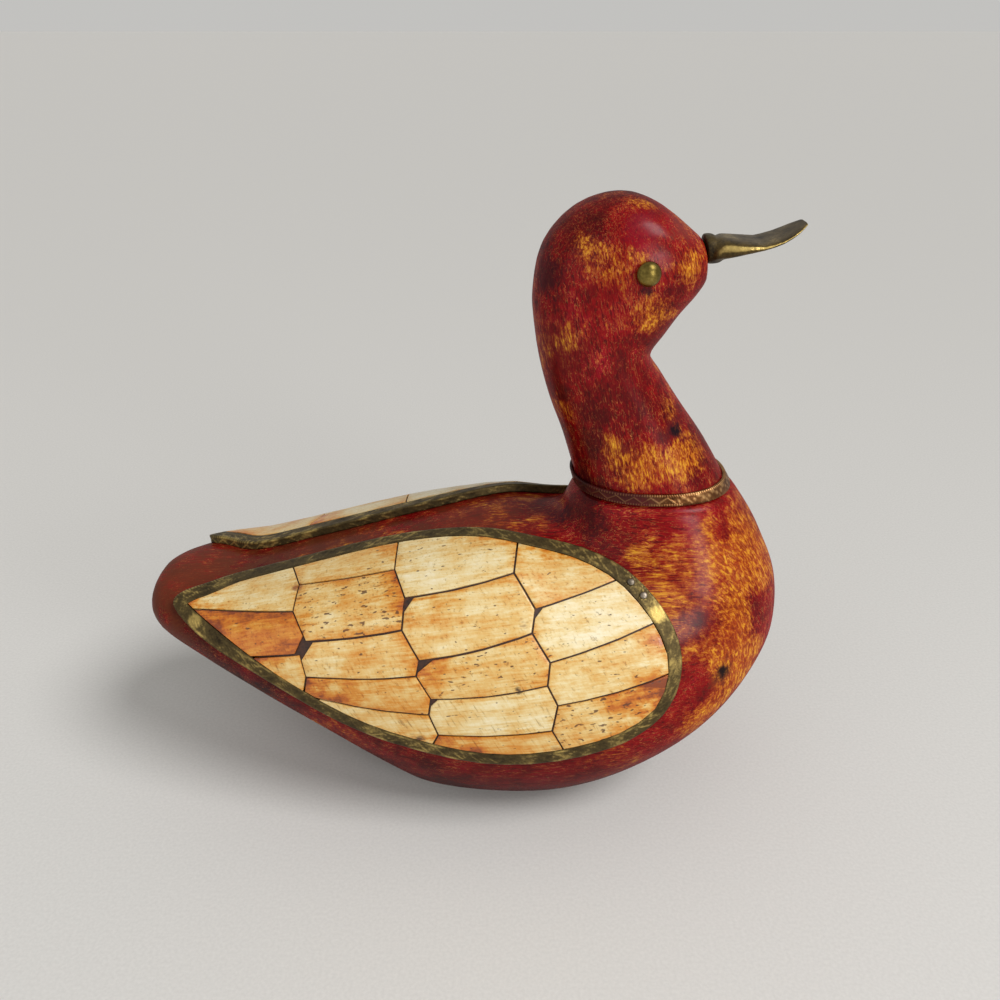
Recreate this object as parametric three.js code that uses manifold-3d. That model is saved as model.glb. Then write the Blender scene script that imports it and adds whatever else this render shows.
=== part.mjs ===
// A carved wooden duck: doweled neck, brass bill, tack eyes and bone tiled wings with brass trim.
// Millimetres. The duck faces +X, +Z is up, and the origin is the middle of its footprint.

import * as THREE from 'three';
import { mergeVertices } from 'three/addons/utils/BufferGeometryUtils.js';
import Module from 'manifold-3d';

const wasm = await Module();
wasm.setup();

// Body block.
const BODY_LENGTH = 227;
const BODY_WIDTH = 106;
const BACK_HEIGHT = 106;

// Neck and head block: how far back its foot stands, its foot, its rise and its width at the cheeks.
const NECK_SETBACK = 48.5;
const NECK_FOOT_LENGTH = 52;
const NECK_FOOT_WIDTH = 43;
const NECK_RISE = 96;
const HEAD_WIDTH = 39;
const SEAT_RISE = 12.7;

// Dowel in the neck seam.
const DOWEL_SETBACK = 5;
const DOWEL_DIAMETER = 12;
const DOWEL_LENGTH = 50;

// Brass band round the neck seam.
const BAND_HEIGHT = 5.2;
const BAND_THICKNESS = 0.9;

// Brass bill.
const BILL_LENGTH = 30.5;
const BILL_WIDTH = 18;
const BILL_COLLAR_HEIGHT = 9.1;
const BILL_COLLAR_WIDTH = 12;
const BILL_COLLAR_LENGTH = 3.2;
const TANG_DIAMETER = 4;
const TANG_LENGTH = 16;

// Brass tack eyes.
const EYE_DIAMETER = 8.2;
const EYE_HEIGHT = 3;
const EYE_SHANK_DIAMETER = 1.8;
const EYE_SHANK_LENGTH = 9;

// Wings: bare wood behind and in front of them, then a bed, tiles and a folded rim with pins.
const WING_TAIL_MARGIN = 14.5;
const WING_BREAST_MARGIN = 42;
const BED_THICKNESS = 0.7;
const TILE_THICKNESS = 1.8;
const TILE_JOINT = 0.6;
const RIM_WIDTH = 4.5;
const RIM_SHEET = 0.7;
const PIN_DIAMETER = 1.2;
const PIN_HEAD_DIAMETER = 2.8;
const PIN_HEAD_HEIGHT = 0.6;
const PIN_LENGTH = 8;

// Fits: the gap between neighbours, and the gap between curved layers.
const GAP = 0.3;
const LAYER_GAP = 0.4;

const TAIL_X = -BODY_LENGTH / 2;
const CHEST_X = BODY_LENGTH / 2;
const NECK_X = CHEST_X - NECK_SETBACK;
const SEAT_HEIGHT = BACK_HEIGHT + SEAT_RISE;

// Curves.

// A smooth value over the length, from rows of [place from tail -1 to chest 1, value].
function curveOverX(rows) {
  const places = rows.map((row) => row[0] * CHEST_X);
  const values = rows.map((row) => row[1]);
  const curve = new THREE.CubicInterpolant(places, values, 1, [0]);
  return (x) => curve.evaluate(x)[0];
}

// The height of a line drawn through points [x, height], for any x between its ends.
function lineOverX(points) {
  const knots = points.map((point) => new THREE.Vector2(point[0], point[1]));
  const dense = new THREE.SplineCurve(knots).getPoints(40 * knots.length);
  return (x) => {
    let low = 0;
    let high = dense.length - 1;
    while (high - low > 1) {
      const middle = (low + high) >> 1;
      if (dense[middle].x > x) {
        high = middle;
      } else {
        low = middle;
      }
    }
    const share = (x - dense[low].x) / (dense[high].x - dense[low].x);
    return THREE.MathUtils.lerp(dense[low].y, dense[high].y, THREE.MathUtils.clamp(share, 0, 1));
  };
}

// A cosine or sine with its rounding squared up: 2 keeps the circle, more squares it.
function squared(value, roundness) {
  return Math.sign(value) * Math.pow(Math.abs(value), 2 / roundness);
}

// Body patterns: the side view and the top view that a carver saws out of the block.
const seatLedge = GAP + BAND_THICKNESS + GAP;
const seatHalfLength = NECK_FOOT_LENGTH / 2 + seatLedge;
const seatHalfWidth = NECK_FOOT_WIDTH / 2 + seatLedge;
const NECK_ROUNDNESS = 2.2;
const SWELL_BACK = 1.22;
const SWELL_FRONT = Math.min(1.6, (0.93 * NECK_SETBACK) / seatHalfLength);
const TAIL_TIP = 0.7;
const CHEST_TIP = 0.68;

const widestLine = curveOverX([
  [-1, 0.7 * BACK_HEIGHT],
  [-0.83, 0.7 * BACK_HEIGHT],
  [-0.7, 0.66 * BACK_HEIGHT],
  [-0.5, 0.585 * BACK_HEIGHT],
  [-0.19, 0.49 * BACK_HEIGHT],
  [0.12, 0.44 * BACK_HEIGHT],
  [0.57, 0.47 * BACK_HEIGHT],
  [0.83, 0.56 * BACK_HEIGHT],
  [1, 0.68 * BACK_HEIGHT],
]);

const upperRoundness = curveOverX([
  [-1, 2],
  [-0.7, 2.5],
  [-0.2, 2.6],
  [0.11, 2.4],
  [0.57, 2],
  [1, 2],
]);

const LOWER_ROUNDNESS = 2.1;

const halfWidthLine = lineOverX([
  [-1, 0],
  [-0.985, 0.24],
  [-0.93, 0.42],
  [-0.83, 0.565],
  [-0.7, 0.69],
  [-0.5, 0.82],
  [-0.19, 0.945],
  [0.12, 1],
  [0.35, 1],
  [0.57, 0.945],
  [0.74, 0.81],
  [0.87, 0.585],
  [0.96, 0.32],
  [1, 0],
].map((row) => [row[0] * CHEST_X, (row[1] * BODY_WIDTH) / 2]));

const backLine = lineOverX([
  [TAIL_X, TAIL_TIP * BACK_HEIGHT],
  [0.975 * TAIL_X, 0.765 * BACK_HEIGHT],
  [0.88 * TAIL_X, 0.785 * BACK_HEIGHT],
  [0.7 * TAIL_X, 0.79 * BACK_HEIGHT],
  [0.5 * TAIL_X, 0.845 * BACK_HEIGHT],
  [0.19 * TAIL_X, 0.935 * BACK_HEIGHT],
  [0.11 * CHEST_X, BACK_HEIGHT],
  [0.3 * CHEST_X, 0.993 * BACK_HEIGHT],
  [0.57 * CHEST_X, 1.02 * BACK_HEIGHT],
  [0.76 * CHEST_X, 1.022 * BACK_HEIGHT],
  [0.871 * CHEST_X, 0.987 * BACK_HEIGHT],
  [0.931 * CHEST_X, 0.915 * BACK_HEIGHT],
  [0.977 * CHEST_X, 0.806 * BACK_HEIGHT],
  [CHEST_X, CHEST_TIP * BACK_HEIGHT],
]);

const bellyLine = lineOverX([
  [TAIL_X, TAIL_TIP * BACK_HEIGHT],
  [0.975 * TAIL_X, 0.625 * BACK_HEIGHT],
  [0.88 * TAIL_X, 0.555 * BACK_HEIGHT],
  [0.7 * TAIL_X, 0.44 * BACK_HEIGHT],
  [0.48 * TAIL_X, 0.28 * BACK_HEIGHT],
  [0.25 * TAIL_X, 0.09 * BACK_HEIGHT],
  [0.1 * TAIL_X, -0.01 * BACK_HEIGHT],
  [0.2 * CHEST_X, -0.03 * BACK_HEIGHT],
  [0.42 * CHEST_X, 0.03 * BACK_HEIGHT],
  [0.65 * CHEST_X, 0.19 * BACK_HEIGHT],
  [0.82 * CHEST_X, 0.357 * BACK_HEIGHT],
  [0.93 * CHEST_X, 0.5 * BACK_HEIGHT],
  [0.985 * CHEST_X, 0.59 * BACK_HEIGHT],
  [CHEST_X, CHEST_TIP * BACK_HEIGHT],
]);

// The height of the back at a place beside the spine.
function backHeight(x, y) {
  const roundness = upperRoundness(x);
  const side = Math.min(Math.abs(y) / halfWidthLine(x), 1);
  return THREE.MathUtils.lerp(
    widestLine(x),
    backLine(x),
    Math.pow(1 - Math.pow(side, roundness), 1 / roundness),
  );
}

// A point of the body's skin: x along it, and an angle round it from its left side over the back.
function bodyPoint(x, angle) {
  const middle = widestLine(x);
  const upper = Math.sin(angle) > 0;
  const roundness = upper ? upperRoundness(x) : LOWER_ROUNDNESS;
  const reach = upper ? backLine(x) - middle : middle - bellyLine(x);
  const y = halfWidthLine(x) * squared(Math.cos(angle), roundness);
  return new THREE.Vector3(x, y, middle + reach * squared(Math.sin(angle), roundness));
}

// The same skin peeled flat: x along it, and the girth up its right side from the widest line.
const PEEL_STEPS = 40;

function peeledPoint(x, girth) {
  const quarter = girth > 0 ? -Math.PI / 2 : Math.PI / 2;
  let left = Math.abs(girth);
  let from = bodyPoint(x, Math.PI);
  for (let k = 1; k <= PEEL_STEPS; k += 1) {
    const to = bodyPoint(x, Math.PI + (quarter * k) / PEEL_STEPS);
    const step = from.distanceTo(to);
    if (left <= step) {
      return from.lerp(to, left / step);
    }
    left -= step;
    from = to;
  }
  return from;
}

// The girth from the widest line to the spine. In front it stays what it is just behind the neck.
function quarterGirth(x) {
  const place = Math.min(x, NECK_X - SWELL_BACK * seatHalfLength);
  let total = 0;
  for (let k = 0; k < PEEL_STEPS; k += 1) {
    const from = bodyPoint(place, Math.PI / 2 + (k * Math.PI) / 2 / PEEL_STEPS);
    const to = bodyPoint(place, Math.PI / 2 + ((k + 1) * Math.PI) / 2 / PEEL_STEPS);
    total += from.distanceTo(to);
  }
  return total;
}

// A point at a height over the peeled skin.
function overSkin(x, girth, height) {
  const probe = 1.5;
  const along = peeledPoint(x + probe, girth).sub(peeledPoint(x - probe, girth));
  const up = peeledPoint(x, girth + probe).sub(peeledPoint(x, girth - probe));
  const out = along.cross(up).normalize();
  return peeledPoint(x, girth).addScaledVector(out, height);
}

// Shapes.

// Rings of points joined to a closed skin, with a point to close each end.
function skin(rings, startPoint, endPoint) {
  const around = rings[0].length;
  const points = [startPoint, ...rings.flat(), endPoint];
  const last = points.length - 1;
  const at = (ring, k) => 1 + ring * around + (k % around);
  const faces = [];
  for (let k = 0; k < around; k += 1) {
    faces.push(0, at(0, k + 1), at(0, k));
    faces.push(last, at(rings.length - 1, k), at(rings.length - 1, k + 1));
    for (let ring = 0; ring + 1 < rings.length; ring += 1) {
      faces.push(at(ring, k), at(ring, k + 1), at(ring + 1, k + 1));
      faces.push(at(ring, k), at(ring + 1, k + 1), at(ring + 1, k));
    }
  }
  return indexed(points, faces);
}

// Rings of points joined in a loop, the last one to the first.
function loop(rings) {
  const around = rings[0].length;
  const at = (ring, k) => (ring % rings.length) * around + (k % around);
  const faces = [];
  for (let ring = 0; ring < rings.length; ring += 1) {
    for (let k = 0; k < around; k += 1) {
      faces.push(at(ring, k), at(ring, k + 1), at(ring + 1, k + 1));
      faces.push(at(ring, k), at(ring + 1, k + 1), at(ring + 1, k));
    }
  }
  return indexed(rings.flat(), faces);
}

function indexed(points, faces) {
  const geometry = new THREE.BufferGeometry().setFromPoints(points);
  geometry.setIndex(faces);
  return geometry;
}

function centreOf(points) {
  const sum = points.reduce((total, point) => total.add(point), new THREE.Vector3());
  return sum.divideScalar(points.length);
}

// A turned piece along +Z from rows of [radius, height], closed on its axis.
function turned(rows, segments) {
  const outline = rows.map((row) => new THREE.Vector2(row[0], row[1]));
  return new THREE.LatheGeometry(outline, segments).rotateX(Math.PI / 2);
}

// The same geometry with its +Z pointing along a direction, at a place.
function placed(geometry, place, direction) {
  const turn = new THREE.Quaternion().setFromUnitVectors(new THREE.Vector3(0, 0, 1), direction);
  return geometry.clone().applyQuaternion(turn).translate(place.x, place.y, place.z);
}

// The left hand copy of a right hand geometry.
function mirrored(geometry) {
  const copy = geometry.clone().scale(1, -1, 1);
  const faces = copy.index.array;
  for (let k = 0; k < faces.length; k += 3) {
    [faces[k], faces[k + 1]] = [faces[k + 1], faces[k]];
  }
  return copy;
}

function solid(geometry) {
  const bare = geometry.clone();
  bare.deleteAttribute('normal');
  bare.deleteAttribute('uv');
  const merged = mergeVertices(bare, 1e-4);
  return new wasm.Manifold(new wasm.Mesh({
    numProp: 3,
    vertProperties: new Float32Array(merged.attributes.position.array),
    triVerts: new Uint32Array(merged.index.array),
  }));
}

function geometryOf(made) {
  const mesh = made.getMesh();
  const geometry = new THREE.BufferGeometry();
  geometry.setAttribute('position', new THREE.BufferAttribute(mesh.vertProperties, 3));
  geometry.setIndex(new THREE.BufferAttribute(mesh.triVerts, 1));
  return geometry;
}

// A block or a rod to cut with.
function rod(diameter, from, to) {
  const axis = to.clone().sub(from);
  const rows = [[0, 0], [diameter / 2, 0], [diameter / 2, axis.length()], [0, axis.length()]];
  return placed(turned(rows, 16), from, axis.normalize());
}

const duck = new THREE.Group();
duck.name = 'duck';

function addNode(name, geometry, material) {
  geometry.computeVertexNormals();
  const mesh = new THREE.Mesh(geometry, material.clone());
  mesh.name = name;
  duck.add(mesh);
}

const paintedWood = new THREE.MeshStandardMaterial({ color: 0x8a2a1c, roughness: 0.45, metalness: 0 });
const plainWood = new THREE.MeshStandardMaterial({ color: 0xb58a55, roughness: 0.8, metalness: 0 });
const brass = new THREE.MeshStandardMaterial({ color: 0x8c7640, roughness: 0.4, metalness: 1 });
const bone = new THREE.MeshStandardMaterial({ color: 0xe6d3a8, roughness: 0.35, metalness: 0 });
const mastic = new THREE.MeshStandardMaterial({ color: 0x2e1a12, roughness: 0.8, metalness: 0 });

// Neck and head: each section reaches from the line of the nape to the line of the throat.
const neckFoot = SEAT_HEIGHT + GAP;
const neckRows = [
  // [nape x, nape height, throat x, throat height, half width], x from the middle of the foot
  [-NECK_FOOT_LENGTH / 2, 0, NECK_FOOT_LENGTH / 2, 0, NECK_FOOT_WIDTH / 2],
  [-31.3, 0.185 * NECK_RISE, 16.5, 0.165 * NECK_RISE, 0.49 * HEAD_WIDTH],
  [-36, 0.315 * NECK_RISE, 7.8, 0.29 * NECK_RISE, 0.465 * HEAD_WIDTH],
  [-39.7, 0.455 * NECK_RISE, 0, 0.41 * NECK_RISE, 0.455 * HEAD_WIDTH],
  [-41.7, 0.585 * NECK_RISE, -3.9, 0.475 * NECK_RISE, 0.465 * HEAD_WIDTH],
  [-42.3, 0.69 * NECK_RISE, 0.2, 0.545 * NECK_RISE, 0.485 * HEAD_WIDTH],
  [-39.5, 0.84 * NECK_RISE, 4.6, 0.615 * NECK_RISE, 0.5 * HEAD_WIDTH],
  [-29.8, 0.955 * NECK_RISE, 8.2, 0.66 * NECK_RISE, 0.48 * HEAD_WIDTH],
  [-16.2, NECK_RISE, 10.3, 0.69 * NECK_RISE, 0.42 * HEAD_WIDTH],
  [-3.5, 0.96 * NECK_RISE, 11.5, 0.71 * NECK_RISE, 0.34 * HEAD_WIDTH],
  [10.2, 0.85 * NECK_RISE, 11.8, 0.72 * NECK_RISE, 0.22 * HEAD_WIDTH],
];
const EYE_ROW = 6.94;
const EYE_ANGLE = THREE.MathUtils.degToRad(-84);
const BILL_PLACE = 0.25;
const napeLine = new THREE.SplineCurve(neckRows.map((row) => new THREE.Vector2(row[0], row[1])));
const throatLine = new THREE.SplineCurve(neckRows.map((row) => new THREE.Vector2(row[2], row[3])));
const neckWidths = new THREE.SplineCurve(neckRows.map((row) => new THREE.Vector2(0, row[4])));

function neckPoint(share, angle) {
  const nape = napeLine.getPoint(share);
  const throat = throatLine.getPoint(share);
  const middle = nape.clone().lerp(throat, 0.5);
  const arm = throat.sub(nape).multiplyScalar(0.5);
  const along = squared(Math.cos(angle), NECK_ROUNDNESS);
  return new THREE.Vector3(
    NECK_X + middle.x + arm.x * along,
    neckWidths.getPoint(share).y * squared(Math.sin(angle), NECK_ROUNDNESS),
    neckFoot + middle.y + arm.y * along,
  );
}

function neckRing(share, around) {
  const angles = Array.from({ length: around }, (unused, k) => (2 * Math.PI * k) / around);
  return angles.map((angle) => neckPoint(share, angle));
}

function neckGeometry() {
  const stations = 30;
  const rings = [];
  for (let i = 0; i <= stations; i += 1) {
    rings.push(neckRing(i / stations, 24));
  }
  return skin(rings, centreOf(rings[0]), centreOf(rings[stations]));
}

// Dowel.
const dowelFrom = new THREE.Vector3(NECK_X - DOWEL_SETBACK, 0, SEAT_HEIGHT - DOWEL_LENGTH / 2);
const dowelTo = new THREE.Vector3(NECK_X - DOWEL_SETBACK, 0, SEAT_HEIGHT + DOWEL_LENGTH / 2);
const dowelSlack = new THREE.Vector3(0, 0, GAP);
const dowelHole = rod(
  DOWEL_DIAMETER + 2 * GAP,
  dowelFrom.clone().sub(dowelSlack),
  dowelTo.clone().add(dowelSlack),
);
addNode('neck_dowel', rod(DOWEL_DIAMETER, dowelFrom, dowelTo), plainWood);

// Eyes: a domed tack on each cheek.
const eyeShare = EYE_ROW / (neckRows.length - 1);
const eyeSpot = neckPoint(eyeShare, EYE_ANGLE);
const probe = 0.01;
const eyeAlong = neckPoint(eyeShare + probe, EYE_ANGLE).sub(neckPoint(eyeShare - probe, EYE_ANGLE));
const eyeAcross = neckPoint(eyeShare, EYE_ANGLE + probe).sub(neckPoint(eyeShare, EYE_ANGLE - probe));
const eyeOut = eyeAcross.cross(eyeAlong).normalize();

function tackGeometry() {
  const rows = [
    [0, -EYE_SHANK_LENGTH],
    [EYE_SHANK_DIAMETER / 2, -EYE_SHANK_LENGTH + EYE_SHANK_DIAMETER],
    [EYE_SHANK_DIAMETER / 2, GAP],
  ];
  for (let k = 0; k <= 4; k += 1) {
    const angle = (Math.PI / 2) * (k / 4);
    rows.push([(EYE_DIAMETER / 2) * Math.cos(angle), GAP + EYE_HEIGHT * Math.sin(angle)]);
  }
  rows[rows.length - 1][0] = 0;
  return mergeVertices(stripped(placed(turned(rows, 16), eyeSpot, eyeOut)), 1e-4);
}

function stripped(geometry) {
  geometry.deleteAttribute('normal');
  geometry.deleteAttribute('uv');
  return geometry;
}

const eyeHole = rod(
  EYE_SHANK_DIAMETER + 2 * GAP,
  eyeSpot.clone().addScaledVector(eyeOut, -EYE_SHANK_LENGTH - GAP),
  eyeSpot.clone().addScaledVector(eyeOut, EYE_HEIGHT),
);
const tack = geometryOf(solid(tackGeometry()));
addNode('eye_right', tack, brass);
addNode('eye_left', mirrored(tack), brass);

// Bill: a paddle with a collar on the flat of the head and a tang inside it.
const flatTop = neckPoint(1, Math.PI);
const flatBottom = neckPoint(1, 0);
const billSpot = flatTop.clone().lerp(flatBottom, BILL_PLACE);
const flatOut = new THREE.Vector3(flatTop.z - flatBottom.z, 0, flatBottom.x - flatTop.x).normalize();
const billRows = [
  // [share of the length, top, underside, share of the half width]
  [0.08, 2.6, -3, 0.78],
  [0.2, 2.2, -2.2, 0.95],
  [0.36, 2.3, -0.8, 1],
  [0.55, 3.1, 0.8, 1],
  [0.74, 4.6, 2.8, 0.95],
  [0.9, 7, 5.6, 0.75],
  [1, 8.8, 7.8, 0.42],
];
const BILL_ROUNDNESS = 3.2;
const COLLAR_ROUNDNESS = 2.4;

function billRing(x, top, bottom, half, roundness) {
  const around = 18;
  const angles = Array.from({ length: around }, (unused, k) => (2 * Math.PI * k) / around);
  return angles.map((angle) => new THREE.Vector3(
    billSpot.x + x,
    half * squared(Math.cos(angle), roundness),
    billSpot.z + (top + bottom) / 2 + ((top - bottom) / 2) * squared(Math.sin(angle), roundness),
  ));
}

function bladeGeometry() {
  const knots = billRows.length - 1;
  const tops = new THREE.SplineCurve(billRows.map((row) => new THREE.Vector2(row[0], row[1])));
  const unders = new THREE.SplineCurve(billRows.map((row) => new THREE.Vector2(row[0], row[2])));
  const halves = new THREE.SplineCurve(billRows.map((row) => new THREE.Vector2(row[0], row[3])));
  const rings = [];
  for (let i = 0; i <= 2 * knots; i += 1) {
    const share = i / (2 * knots);
    const top = tops.getPoint(share);
    const half = (halves.getPoint(share).y * BILL_WIDTH) / 2;
    rings.push(billRing(top.x * BILL_LENGTH, top.y, unders.getPoint(share).y, half, BILL_ROUNDNESS));
  }
  return skin(rings, centreOf(rings[0]), centreOf(rings[rings.length - 1]));
}

function collarGeometry() {
  const top = 0.53 * BILL_COLLAR_HEIGHT;
  const under = -0.47 * BILL_COLLAR_HEIGHT;
  const wide = BILL_COLLAR_WIDTH / 2;
  const lean = flatOut.z / flatOut.x;
  const rings = [
    billRing(GAP, top, under, wide, COLLAR_ROUNDNESS),
    billRing(GAP + 0.8 * BILL_COLLAR_LENGTH, top, under, wide, COLLAR_ROUNDNESS),
    billRing(GAP + BILL_COLLAR_LENGTH + 2, 0.3 * top, 0.9 * under, wide, COLLAR_ROUNDNESS),
  ];
  rings[0].forEach((point) => {
    point.x -= lean * (point.z - billSpot.z);
  });
  return skin(rings, centreOf(rings[0]), centreOf(rings[2]));
}

const tangTip = billSpot.clone().addScaledVector(flatOut, -TANG_LENGTH);
const tang = rod(TANG_DIAMETER, tangTip, billSpot.clone().addScaledVector(flatOut, BILL_COLLAR_LENGTH));
const tangHole = rod(
  TANG_DIAMETER + 2 * GAP,
  tangTip.clone().addScaledVector(flatOut, -GAP),
  billSpot.clone().addScaledVector(flatOut, BILL_COLLAR_LENGTH),
);
const bill = solid(bladeGeometry()).add(solid(collarGeometry())).add(solid(tang));
addNode('bill', geometryOf(bill), brass);

const neck = solid(neckGeometry())
  .subtract(solid(dowelHole))
  .subtract(solid(tangHole))
  .subtract(solid(eyeHole))
  .subtract(solid(mirrored(geometryOf(solid(eyeHole)))));
addNode('neck_and_head', geometryOf(neck), paintedWood);

// Neck band: a strip that stands on the seat and leans with the neck.
function bandGeometry() {
  const around = 44;
  const low = neckRing(0, around);
  const high = neckRing(BAND_HEIGHT / neckRows[1][1] / (neckRows.length - 1), around);
  const rings = low.map((foot, k) => {
    const before = low[(k + around - 1) % around];
    const after = low[(k + 1) % around];
    const out = new THREE.Vector3(after.y - before.y, before.x - after.x, 0).normalize();
    const top = high[k];
    return [
      foot.clone().addScaledVector(out, GAP),
      top.clone().addScaledVector(out, GAP),
      top.clone().addScaledVector(out, GAP + BAND_THICKNESS),
      foot.clone().addScaledVector(out, GAP + BAND_THICKNESS),
    ];
  });
  return loop(rings);
}
addNode('neck_band', bandGeometry(), brass);

// Wing pattern: a share of the wing's length from its tail, and of the girth up to the spine.
const wingTail = TAIL_X + WING_TAIL_MARGIN;
const wingLength = CHEST_X - WING_BREAST_MARGIN - wingTail;

function wingPlace(along, up) {
  const x = wingTail + along * wingLength;
  return new THREE.Vector2(x, up * quarterGirth(x));
}

const wingOutline = [
  [0, 0.22],
  [0.008, 0.38],
  [0.045, 0.54],
  [0.116, 0.765],
  [0.25, 0.845],
  [0.45, 0.88],
  [0.6, 0.85],
  [0.7, 0.8],
  [0.785, 0.768],
  [0.88, 0.66],
  [0.935, 0.545],
  [0.98, 0.4],
  [1, 0.25],
  [0.975, 0.095],
  [0.91, 0.01],
  [0.8, -0.045],
  [0.66, -0.08],
  [0.5, -0.08],
  [0.345, -0.063],
  [0.19, 0.023],
  [0.05, 0.093],
];

// The outline is walked in shares, which sets the stations closer together at the thin tail.
const RIM_STATIONS = 56;
const UP_SCALE = 0.55;
const wingCurve = new THREE.CatmullRomCurve3(
  wingOutline.map((row) => new THREE.Vector3(row[0], row[1] * UP_SCALE, 0)),
  true,
);

function edgePlace(share) {
  const point = wingCurve.getPointAt(((share % 1) + 1) % 1);
  return wingPlace(point.x, point.y / UP_SCALE);
}

const wingEdge = Array.from({ length: RIM_STATIONS }, (unused, k) => edgePlace(k / RIM_STATIONS));

const finePoints = Array.from({ length: 6 * RIM_STATIONS }, (unused, k) => edgePlace(k / (6 * RIM_STATIONS)));

// The outline moved inwards by a distance. Where it would cross itself it closes to a corner.
function insetOutline(distance) {
  const at = (list, k) => list[(k + RIM_STATIONS) % RIM_STATIONS];
  const moved = wingEdge.map((point, k) => {
    const along = at(wingEdge, k + 1).clone().sub(at(wingEdge, k - 1)).normalize();
    return point.clone().add(new THREE.Vector2(along.y, -along.x).multiplyScalar(distance));
  });
  const clear = moved.map((point) => finePoints.every((edge) => edge.distanceTo(point) >= 0.97 * distance));
  return moved.map((point, k) => {
    if (clear[k]) {
      return point;
    }
    let before = k;
    let after = k;
    while (!at(clear, before) && k - before < RIM_STATIONS) {
      before -= 1;
    }
    while (!at(clear, after) && after - k < RIM_STATIONS) {
      after += 1;
    }
    return at(moved, before).clone().lerp(at(moved, after), (k - before) / (after - before));
  });
}

// What is left of a polygon on the inner side of a line, for a polygon that turns clockwise.
function trimmed(polygon, from, to, inset) {
  const inward = new THREE.Vector2(to.y - from.y, from.x - to.x).normalize();
  const depth = (point) => point.clone().sub(from).dot(inward) - inset;
  const kept = [];
  polygon.forEach((point, k) => {
    const next = polygon[(k + 1) % polygon.length];
    const here = depth(point);
    const there = depth(next);
    if (here >= 0) {
      kept.push(point);
    }
    if (here * there < 0) {
      kept.push(point.clone().lerp(next, here / (here - there)));
    }
  });
  return kept;
}

function trimmedToCell(polygon, corners, inset) {
  return corners.reduce(
    (left, corner, k) => trimmed(left, corner, corners[(k + 1) % corners.length], inset),
    polygon,
  );
}

// A plate bent over the skin. It is cut along one net of lines, so that layers keep their distance.
const NET_ALONG = 16;
const NET_UP = 14;

function bentPlate(outline, floor, top) {
  const places = [];
  const numberOf = (place) => {
    const number = places.findIndex((known) => known.distanceTo(place) < 0.01);
    return number < 0 ? places.push(place) - 1 : number;
  };
  const faces = [];
  for (let i = -1; i <= NET_ALONG; i += 1) {
    for (let j = -3; j < NET_UP; j += 1) {
      const corners = [[i, j + 1], [i + 1, j + 1], [i + 1, j], [i, j]]
        .map((corner) => wingPlace(corner[0] / NET_ALONG, corner[1] / NET_UP));
      const piece = trimmedToCell(outline, corners, 0);
      for (let k = 1; k + 1 < piece.length; k += 1) {
        const numbers = [piece[0], piece[k + 1], piece[k]].map(numberOf);
        if (new Set(numbers).size === 3) {
          faces.push(numbers);
        }
      }
    }
  }
  const count = places.length;
  const edges = new Set();
  faces.forEach(([a, b, c]) => [[a, b], [b, c], [c, a]].forEach((edge) => edges.add(edge.join())));
  const joined = [];
  faces.forEach(([a, b, c]) => {
    joined.push(a, b, c, a + count, c + count, b + count);
    [[a, b], [b, c], [c, a]].filter(([from, to]) => !edges.has(to + ',' + from)).forEach(([from, to]) => {
      joined.push(to, from, from + count, to, from + count, to + count);
    });
  });
  const points = [
    ...places.map((place) => overSkin(place.x, place.y, top)),
    ...places.map((place) => overSkin(place.x, place.y, floor)),
  ];
  return indexed(points, joined);
}

const bedTop = LAYER_GAP + BED_THICKNESS;
const tileFloor = bedTop + LAYER_GAP;
const wingTop = tileFloor + TILE_THICKNESS;

// Wing bed: the mastic that the tiles are set in.
const bed = bentPlate(insetOutline(RIM_WIDTH + GAP), LAYER_GAP, bedTop);
addNode('wing_bed_right', bed, mastic);
addNode('wing_bed_left', mirrored(bed), mastic);

// Wing rim: a folded strip, a flange level with the tiles and a wall down to the wood.
function rimGeometry() {
  const outer = insetOutline(0);
  const fold = insetOutline(RIM_SHEET);
  const inner = insetOutline(RIM_WIDTH);
  const rings = outer.map((edge, k) => [
    overSkin(edge.x, edge.y, LAYER_GAP),
    overSkin(edge.x, edge.y, wingTop),
    overSkin(inner[k].x, inner[k].y, wingTop),
    overSkin(inner[k].x, inner[k].y, wingTop - RIM_SHEET),
    overSkin(fold[k].x, fold[k].y, wingTop - RIM_SHEET),
    overSkin(fold[k].x, fold[k].y, LAYER_GAP),
  ]);
  return loop(rings);
}

// Rim pins: where each one stands on the flange, and which way it points.
const PIN_PLACES = [0.4655, 0.481];

function pinAxis(share) {
  const edge = edgePlace(share);
  const along = edgePlace(share + 0.002).sub(edgePlace(share - 0.002)).normalize();
  const x = edge.x + (along.y * RIM_WIDTH) / 2;
  const girth = edge.y - (along.x * RIM_WIDTH) / 2;
  const top = overSkin(x, girth, wingTop);
  const out = top.clone().sub(overSkin(x, girth, 0)).normalize();
  return { top, out };
}

function pinGeometry(axis) {
  const rows = [
    [0, GAP - PIN_LENGTH],
    [PIN_DIAMETER / 2, GAP - PIN_LENGTH + PIN_DIAMETER],
    [PIN_DIAMETER / 2, GAP],
    [PIN_HEAD_DIAMETER / 2, GAP],
    [0.8 * (PIN_HEAD_DIAMETER / 2), GAP + 0.7 * PIN_HEAD_HEIGHT],
    [0, GAP + PIN_HEAD_HEIGHT],
  ];
  return placed(turned(rows, 12), axis.top, axis.out);
}

function pinHole(axis) {
  return rod(
    PIN_DIAMETER + 2 * GAP,
    axis.top.clone().addScaledVector(axis.out, -PIN_LENGTH),
    axis.top.clone().addScaledVector(axis.out, PIN_LENGTH),
  );
}

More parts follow.
